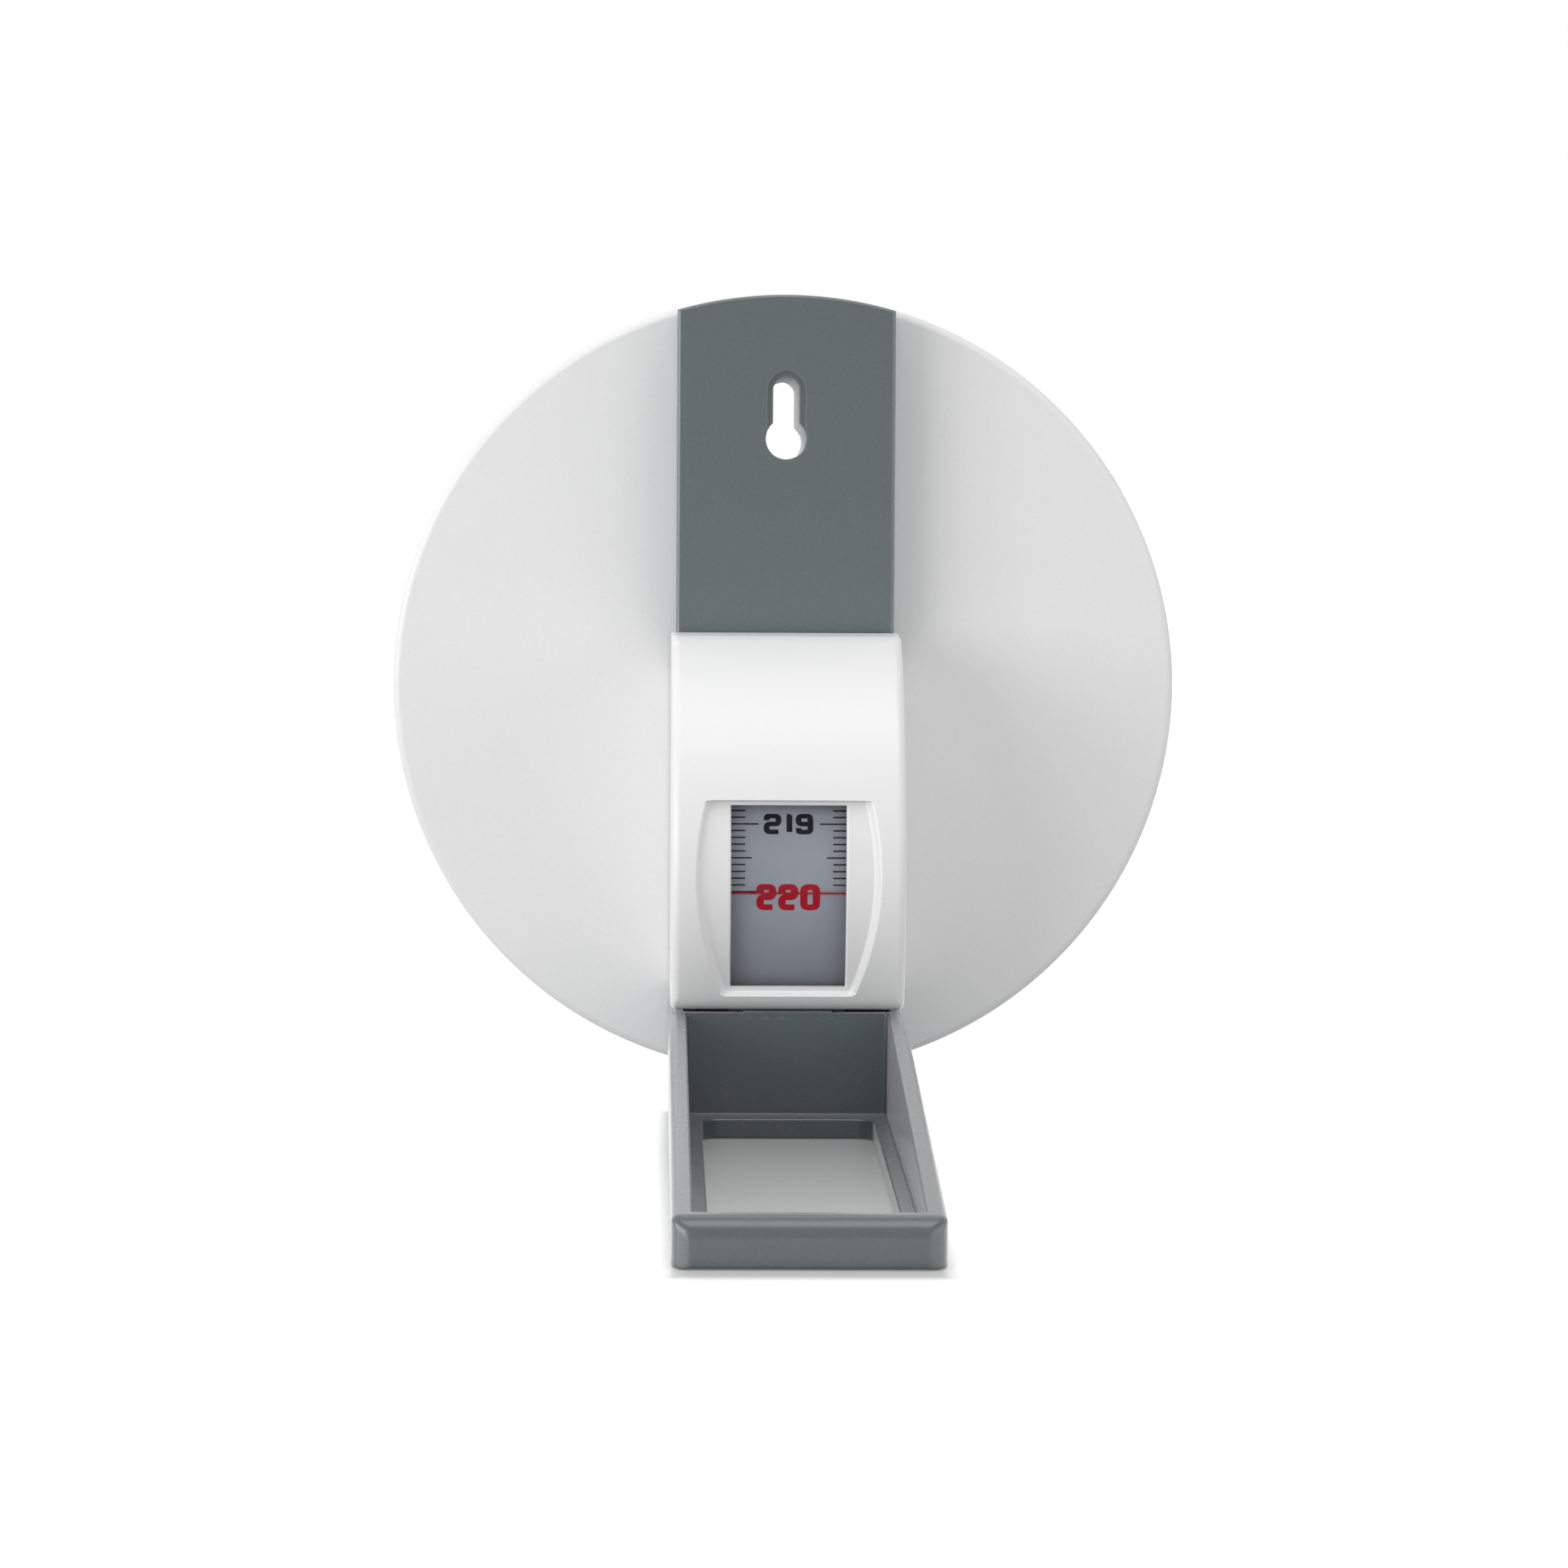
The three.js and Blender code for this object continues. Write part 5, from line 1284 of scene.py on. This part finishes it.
def on_curve(cover, x, radius, turn):
    """A place on a cylinder round the bulge's centre."""
    return (
        x, -(cover.centre_depth + radius * math.cos(turn)), cover.centre_z + radius * math.sin(turn))


def curved_strip(name, cover, radius, thickness, half, start, stop, steps=40):
    """A strip on a cylinder round the bulge's centre, between two angles."""
    corners = (
        (-half, radius - thickness), (half, radius - thickness), (half, radius), (-half, radius))
    turns = [start + (stop - start) * i / steps for i in range(steps + 1)]
    return loft(name, [[on_curve(cover, x, r, turn) for x, r in corners] for turn in turns])


def window_lens(cover):
    half = cover.window_half + cover.lens_margin
    top = math.asin((cover.window_top + cover.lens_margin - cover.centre_z) / cover.lens_radius)
    bottom = math.asin((cover.window_bottom - cover.lens_margin - cover.centre_z) / cover.lens_radius)
    lens = curved_strip(
        "window_lens_clear", cover, cover.lens_radius, cover.lens_thickness, half, top, bottom)
    return smooth(round_edges(lens, FINE_EDGE, 2, lambda a, b: FINE_EDGE))


def index_line(cover):
    reach = cover.index_width / cover.lens_radius / 2
    radius = cover.lens_radius - cover.lens_thickness - INDEX_LIFT
    half = cover.window_half + cover.lens_margin / 2
    return smooth(curved_strip(
        "index_line", cover, radius, INDEX_THICKNESS, half, cover.index_angle - reach,
        cover.index_angle + reach, 2))


# Tape
def tape_window_run(sizes):
    tape, cover = sizes.tape, sizes.cover
    centre = (cover.centre_depth, cover.centre_z)
    roller = (tape.roller_depth, tape.roller_z)
    inner, outer = [
        arc(centre, tape.radius + extra, tape.leave_angle, tape.end_angle, 72)
        + arc(roller, tape.wrap_radius + extra, tape.end_angle, -math.pi, 60)
        for extra in (0, tape.thickness)]
    run = loft("tape_window_run_strip", [
        [(-tape.half, -a[0], a[1]), (tape.half, -a[0], a[1]), (tape.half, -b[0], b[1]),
         (-tape.half, -b[0], b[1])]
        for a, b in zip(inner, outer)])
    map_tape(run, sizes)
    return smooth(run)


def map_tape(run, sizes):
    """The tape's own map: millimetres across, and millimetres up from the last mark."""
    tape, cover = sizes.tape, sizes.cover
    layer = run.data.uv_layers.new(name="Tape")
    for loop in run.data.loops:
        x, y, z = run.data.vertices[loop.vertex_index].co
        turn = math.atan2(z - cover.centre_z, -y - cover.centre_depth) - tape.last_mark_angle
        layer.data[loop.index].uv = (x / MM, turn * (tape.radius + tape.thickness) / MM)


def stroke_points(points, radius, steps=5):
    """A bent line through points, with its inner corners rounded."""
    line = [Vector(points[0])]
    for before, here, after in zip(points, points[1:], points[2:]):
        here = Vector(here)
        back = (Vector(before) - here).normalized()
        on = (Vector(after) - here).normalized()
        if abs(back.dot(on)) > 0.99:
            line.append(here)
            continue
        shorter = min((Vector(before) - here).length, (Vector(after) - here).length)
        leg = min(radius, shorter * CORNER_LEG_SHARE)
        start, stop = here + back * leg, here + on * leg
        line += [
            (1 - t) ** 2 * start + 2 * t * (1 - t) * here + t ** 2 * stop
            for t in (i / steps for i in range(steps + 1))]
    return line + [Vector(points[-1])]


def printed_digit(name, digit, sizes, x, turn, width, height, weight):
    """A squarish digit, bent onto the tape at a place across and an angle."""
    tape = sizes.tape
    reach = (width - weight) / 2
    rise = (height - weight * LEVEL_STROKE_SHARE) / 2
    strokes = [(a * reach, b * rise) for a, b in STROKES[digit]]
    line = stroke_points(strokes, weight * STROKE_CORNER_SHARE)
    low, high = [tape.radius + tape.thickness + lift for lift in INK_LIFTS]
    sections = []
    for i, here in enumerate(line):
        way = (line[min(i + 1, len(line) - 1)] - line[max(i - 1, 0)]).normalized()
        off = Vector((-way.y, way.x * LEVEL_STROKE_SHARE)) * weight / 2
        corners = ((low, here - off), (low, here + off), (high, here + off), (high, here - off))
        sections.append([
            on_curve(sizes.cover, x + across, radius, turn + up / radius)
            for radius, (across, up) in corners])
    return loft(name, sections)


def printed_number(text, sizes, turn, width, height, weight, gap):
    """A number's digits side by side in the middle of the tape, joined into one piece."""
    widths = [width * (ONE_WIDTH_SHARE if digit == "1" else 1) for digit in text]
    x = -(sum(widths) + gap * (len(text) - 1)) / 2
    digits = []
    for digit, own_width in zip(text, widths):
        digits.append(printed_digit(
            f"number_{text}", digit, sizes, x + own_width / 2, turn, own_width, height, weight))
        x += own_width + gap
    clear_selection()
    for digit in digits:
        digit.select_set(True)
    bpy.context.view_layer.objects.active = digits[0]
    bpy.ops.object.join()
    return digits[0]


def tape_back_run(sizes):
    """The tape on the wall side, in slices along its height."""
    tape, plate = sizes.tape, sizes.plate
    bottom = tape.roller_z + GAP
    top = plate.anchor_bottom + plate.anchor_height
    near, far = tape.back_depth, tape.back_depth + tape.thickness
    levels = [bottom + (top - bottom) * i / BACK_RUN_SLICES for i in range(BACK_RUN_SLICES + 1)]
    return smooth(loft("tape_back_run_strip", [
        [(-tape.half, -near, z), (tape.half, -near, z), (tape.half, -far, z), (-tape.half, -far, z)]
        for z in levels]))


# Reel and roller
def roller_spoke(tape, turn, start, stop):
    """A spoke of the guide roller, between two distances from its axis."""
    centre = Vector((0, -tape.roller_depth, tape.roller_z))
    along = Vector((0, math.cos(turn), math.sin(turn)))
    across = Vector((0, -math.sin(turn), math.cos(turn))) * SPOKE_HALF
    corners = ((start, -1), (stop, -1), (stop, 1), (start, 1))
    half = ROLLER_OUTER - SPOKE_INSET
    return loft("Spoke", [
        [centre + along * r + across * side + Vector((x, 0, 0)) for r, side in corners]
        for x in (-half, half)])


def guide_roller(sizes):
    reel, tape = sizes.reel, sizes.tape
    radius, lip = reel.roller_radius, reel.roller_radius + reel.roller_lip
    hub, rim, web = ROLLER_HUB_RADIUS, radius - ROLLER_RIM, ROLLER_WEB_HALF
    right = [
        (radius, ROLLER_INNER), (lip, ROLLER_INNER), (lip, ROLLER_OUTER), (rim, ROLLER_OUTER), (rim, web),
        (hub, web), (hub, ROLLER_OUTER), (ROLLER_BORE_RADIUS, ROLLER_OUTER)]
    profile = [(r, -x) for r, x in right][::-1] + right
    roller = turned_ring("guide_roller_wheel", profile, tape.roller_depth, tape.roller_z)
    join(roller, *[
        roller_spoke(tape, 2 * math.pi * i / SPOKE_COUNT, hub - SPOKE_SINK, rim + SPOKE_SINK)
        for i in range(SPOKE_COUNT)])
    return smooth(round_edges(roller, ROLLER_EDGE, 2, lambda a, b: ROLLER_EDGE))


def tape_coil(sizes):
    """The wound tape, whose sides show the edges of its layers."""
    reel, tape = sizes.reel, sizes.tape
    inner = reel.hub_radius + GAP
    pitch = (reel.coil_radius - inner) / COIL_LAYERS
    sides = []
    for i in range(COIL_LAYERS):
        base = inner + pitch * i
        sides += [(base, tape.half - LAYER_INSET), (base + pitch / 4, tape.half),
                  (base + pitch * 3 / 4, tape.half)]
    sides.append((reel.coil_radius, tape.half - LAYER_INSET))
    profile = sides + [(r, -x) for r, x in sides][::-1]
    return smooth(turned_ring("tape_coil_winding", profile, reel.depth, reel.z, 128), 20)


# Operators
def measure_sizes():
    return bpy.context.scene.height_measure


class MEASURE_OT_wall_plate(bpy.types.Operator):
    """Model the round plate that stays on the wall"""
    bl_idname = "measure.wall_plate"
    bl_label = "Wall plate"

    def execute(self, context):
        sizes = measure_sizes()
        disc = wall_plate(sizes.plate, sizes.channel)
        set_piece(disc, "wall", "plate_white", finish("Plate plastic"), "wall_plate")
        clamp = tape_clamp(sizes.plate)
        set_piece(clamp, "wall", "steel", finish("Plated steel"), "tape_end_clamp")
        return {"FINISHED"}


class MEASURE_OT_head_frame(bpy.types.Operator):
    """Model the gray frame: channel, hollow foot and measuring tongue"""
    bl_idname = "measure.head_frame"
    bl_label = "Head frame"

    def execute(self, context):
        body = head_frame(measure_sizes())
        set_piece(body, "head", "frame_gray", finish("Frame plastic"), "head_frame")
        return {"FINISHED"}


class MEASURE_OT_cover(bpy.types.Operator):
    """Model the white cover with its recess, window and index line"""
    bl_idname = "measure.cover"
    bl_label = "Cover and window"

    def execute(self, context):
        sizes = measure_sizes()
        set_piece(case_cover(sizes), "head", "cover_white", finish("Cover plastic"), "case_cover")
        set_piece(window_lens(sizes.cover), "head", "window_clear", finish("Clear window"), "window_lens")
        set_piece(index_line(sizes.cover), "head", "cover_white", finish("Red ink"))
        return {"FINISHED"}


class MEASURE_OT_screws(bpy.types.Operator):
    """Model the screws once for each length and set them in their places"""
    bl_idname = "measure.screws"
    bl_label = "Screws"

    def execute(self, context):
        sizes = measure_sizes()
        plate, cover, channel, reel = sizes.plate, sizes.cover, sizes.channel, sizes.reel
        steel_finish = finish("Plated steel")
        shanks = (CLAMP_SCREW_SHANK, COVER_SCREW_SHANK, FRAME_SCREW_SHANK)
        short, long, middle = patterns = [pan_head_screw(reel, shank) for shank in shanks]
        clamp_seat = plate.clamp_front + GAP
        cover_seat = channel.inner - GAP
        for side, name in zip(BOTH_SIDES, ("left", "right")):
            clamp = place_screw(
                short, f"clamp_screw_{name}_pan", side * plate.screw_x, clamp_seat, anchor_middle(plate))
            set_piece(clamp, "wall", "steel", steel_finish, f"clamp_screw_{name}")
            held = place_screw(
                long, f"cover_screw_{name}_pan", side * cover.screw_x, cover_seat, cover.screw_z,
                facing_wall=True)
            set_piece(held, "head", "steel", steel_finish, f"cover_screw_{name}")
        for i, (x, z) in enumerate(frame_screw_places(sizes), 1):
            screw = place_screw(middle, f"frame_screw_{i}_pan", x, cover.seat + FRAME_SCREW_SEAT, z)
            set_piece(screw, "head", "steel", steel_finish, f"frame_screw_{i}")
        for pattern in patterns:
            bpy.data.objects.remove(pattern)
        return {"FINISHED"}


class MEASURE_OT_tape(bpy.types.Operator):
    """Model the tape behind the window, its numbers and the run on the wall side"""
    bl_idname = "measure.tape"
    bl_label = "Tape"

    def execute(self, context):
        sizes = measure_sizes()
        tape = sizes.tape
        run = tape_window_run(sizes)
        set_piece(run, "head", "tape_enamel", finish("Printed tape"), "tape_window_run")
        face_radius = tape.radius + tape.thickness
        upper = tape.last_mark_angle + CENTIMETRE / face_radius
        lower = tape.last_mark_angle - RED_NUMBER_DROP / face_radius
        black = printed_number("219", sizes, upper, *BLACK_NUMBER)
        set_piece(black, "head", "tape_enamel", finish("Black ink"))
        red = printed_number("220", sizes, lower, *RED_NUMBER)
        set_piece(red, "head", "tape_enamel", finish("Red ink"))
        back = tape_back_run(sizes)
        dress(back, "tape_enamel", finish("Plain tape"), "tape_back_run")
        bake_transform(back)
        return {"FINISHED"}


class MEASURE_OT_reel(bpy.types.Operator):
    """Model the wound tape and the guide roller, and finish the pieces that stay as they are"""
    bl_idname = "measure.reel"
    bl_label = "Reel and roller"

    def execute(self, context):
        sizes = measure_sizes()
        set_piece(tape_coil(sizes), "reel", "tape_enamel", finish("Plain tape"), "tape_coil")
        set_piece(guide_roller(sizes), "roller", "inner_dark", finish("Inner plastic"), "guide_roller")
        kept = {
            "Inner plastic": (
                "reel_frame", "reel_drum", "reel_cap", "roller_spacer_left", "roller_spacer_right"),
            "Plated steel": (
                "reel_axle", "axle_ring_left", "axle_ring_right", "mainspring", "roller_pin"),
            "Turned brass": ("spring_arbor", "reel_bush_left", "reel_bush_right"),
        }
        for name, nodes in kept.items():
            for key in nodes:
                for slot in frame["nodes"][key].material_slots:
                    slot.material = finish(name)
        return {"FINISHED"}


def floor_material(colours):
    """A pale floor that keeps the object's shadow under it, with a weak painted glow there that is least
    at the far end as painted shade, and fades to white beside it.
    """
    material, tree, shader = start_material("Pale floor")
    place = object_place(tree)
    tone = swing(tree, noise(tree, place, 3, 2), 0.01, 1)
    tree.links.new(tinted(tree, colours.floor, tone), shader.inputs["Base Color"])
    x, y = node(tree, "ShaderNodeSeparateXYZ", {0: place}).outputs[:2]
    across = maths(tree, "ABSOLUTE", x)
    lengthwise = maths(tree, "ABSOLUTE", maths(tree, "SUBTRACT", y, SHADOW_MIDDLE))
    past_end = maths(tree, "SUBTRACT", lengthwise, SHADOW_HALF_LENGTH)
    along = maths(tree, "ADD", maths(tree, "MULTIPLY", past_end, SHADOW_END_SHARE), SHADOW_HALF_WIDTH)
    # Painted light and shade: under the tongue the floor glows weakly, least at the far end and more
    # towards the front
    under = ramp(tree, y, *PAINTED_SHADE_DEPTHS, *PAINTED_GLOW_LEVELS)
    beside = maths(tree, "MAXIMUM", across, along)
    white = ramp(tree, beside, SHADOW_HALF_WIDTH, SHADOW_HALF_WIDTH + SHADOW_BLUR, under, FLOOR_WHITE)
    glow = maths(tree, "MULTIPLY", ray_to_background(tree), white)
    tree.links.new(glow, shader.inputs["Emission Strength"])
    set_sockets(shader, {"Roughness": 0.3, "Emission Color": (1, 1, 1, 1)})
    return material


def studio_world(low, high):
    """White to the camera and in gloss; as light it is stronger from above than from below."""
    world = bpy.data.worlds.new("Studio")
    bpy.context.scene.world = world
    world.use_nodes = True
    tree = world.node_tree
    back = tree.nodes["Background"]
    way = node(tree, "ShaderNodeTexCoord").outputs["Generated"]
    height = node(tree, "ShaderNodeSeparateXYZ", {0: way}).outputs[2]
    light = ramp(tree, height, *SKY_FADE, low, high)
    missing = maths(tree, "SUBTRACT", 1.0, light)
    level = maths(tree, "ADD", maths(tree, "MULTIPLY", ray_to_background(tree), missing), light)
    tree.links.new(level, back.inputs["Strength"])
    back.inputs["Color"].default_value = (1, 1, 1, 1)


def soft_light(name, power, light):
    place, (width, height), share = light
    turn = (Vector(LIGHT_AIM) - Vector(place)).to_track_quat("-Z", "Y").to_euler()
    bpy.ops.object.light_add(type="AREA", location=place, rotation=turn)
    lamp = bpy.context.active_object
    lamp.name = name
    lamp.data.shape = "RECTANGLE"
    lamp.data.size = width
    lamp.data.size_y = height
    lamp.data.energy = power * share


def studio_camera(studio):
    yaw, pitch, roll = studio.yaw, studio.pitch, studio.roll
    forward = Vector((
        math.sin(yaw) * math.cos(pitch), math.cos(yaw) * math.cos(pitch), -math.sin(pitch)))
    right = Vector((math.cos(yaw), -math.sin(yaw), 0))
    up = right.cross(forward)
    right, up = (
        right * math.cos(roll) + up * math.sin(roll), up * math.cos(roll) - right * math.sin(roll))
    turn = Matrix((right, up, -forward)).transposed()
    bpy.ops.object.camera_add(location=studio.camera_place, rotation=turn.to_euler())
    camera = bpy.context.active_object
    camera.data.lens = studio.lens
    camera.data.sensor_width = SENSOR_WIDTH
    camera.data.clip_end = CLIP_END
    bpy.context.scene.camera = camera


class MEASURE_OT_studio(bpy.types.Operator):
    """Set the camera, the lights, the pale floor and the white background"""
    bl_idname = "measure.studio"
    bl_label = "Studio"

    def execute(self, context):
        sizes = measure_sizes()
        studio = sizes.studio
        clear_selection()
        bpy.ops.mesh.primitive_plane_add(size=FLOOR_SIZE, location=(0, 0, 0))
        floor = context.active_object
        floor.name = "floor"
        bpy.ops.object.mode_set(mode="EDIT")
        bpy.ops.mesh.subdivide(number_cuts=3)
        bpy.ops.object.mode_set(mode="OBJECT")
        move_piece(floor, 0, 0, sizes.foot.floor_z - FLOOR_DROP)
        floor.data.materials.append(floor_material(sizes.colours))
        # The head stands on the floor, also after it has slid down
        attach(floor, "head")
        soft_light("left_light", studio.side_light, LEFT_LIGHT)
        soft_light("right_light", studio.side_light, RIGHT_LIGHT)
        soft_light("top_light", studio.top_light, TOP_LIGHT)
        studio_world(studio.sky_low, studio.sky_high)
        studio_camera(studio)
        context.scene.view_settings.view_transform = "Standard"
        return {"FINISHED"}


class MEASURE_PT_panel(bpy.types.Panel):
    """Lists the pieces of the height measure"""
    bl_idname = "MEASURE_PT_panel"
    bl_label = "Height measure"
    bl_space_type = "VIEW_3D"
    bl_region_type = "UI"
    bl_category = "Height measure"

    def draw(self, context):
        for operator in STEPS:
            self.layout.operator(operator.bl_idname)


SIZE_GROUPS = (
    PlateSizes, ChannelSizes, FootSizes, CoverSizes, TapeSizes, ReelSizes, FinishColours, StudioSettings,
    HeightMeasure)
STEPS = (
    MEASURE_OT_studio, MEASURE_OT_wall_plate, MEASURE_OT_head_frame, MEASURE_OT_cover,
    MEASURE_OT_screws, MEASURE_OT_tape, MEASURE_OT_reel)


def register():
    for item in (*SIZE_GROUPS, *STEPS, MEASURE_PT_panel):
        bpy.utils.register_class(item)
    bpy.types.Scene.height_measure = PointerProperty(type=HeightMeasure)


def unregister():
    del bpy.types.Scene.height_measure
    for item in reversed((*SIZE_GROUPS, *STEPS, MEASURE_PT_panel)):
        bpy.utils.unregister_class(item)


def main():
    register()
    bpy.ops.measure.studio()
    bpy.ops.measure.wall_plate()
    bpy.ops.measure.head_frame()
    bpy.ops.measure.cover()
    bpy.ops.measure.screws()
    bpy.ops.measure.tape()
    bpy.ops.measure.reel()


if __name__ == "__main__":
    main()
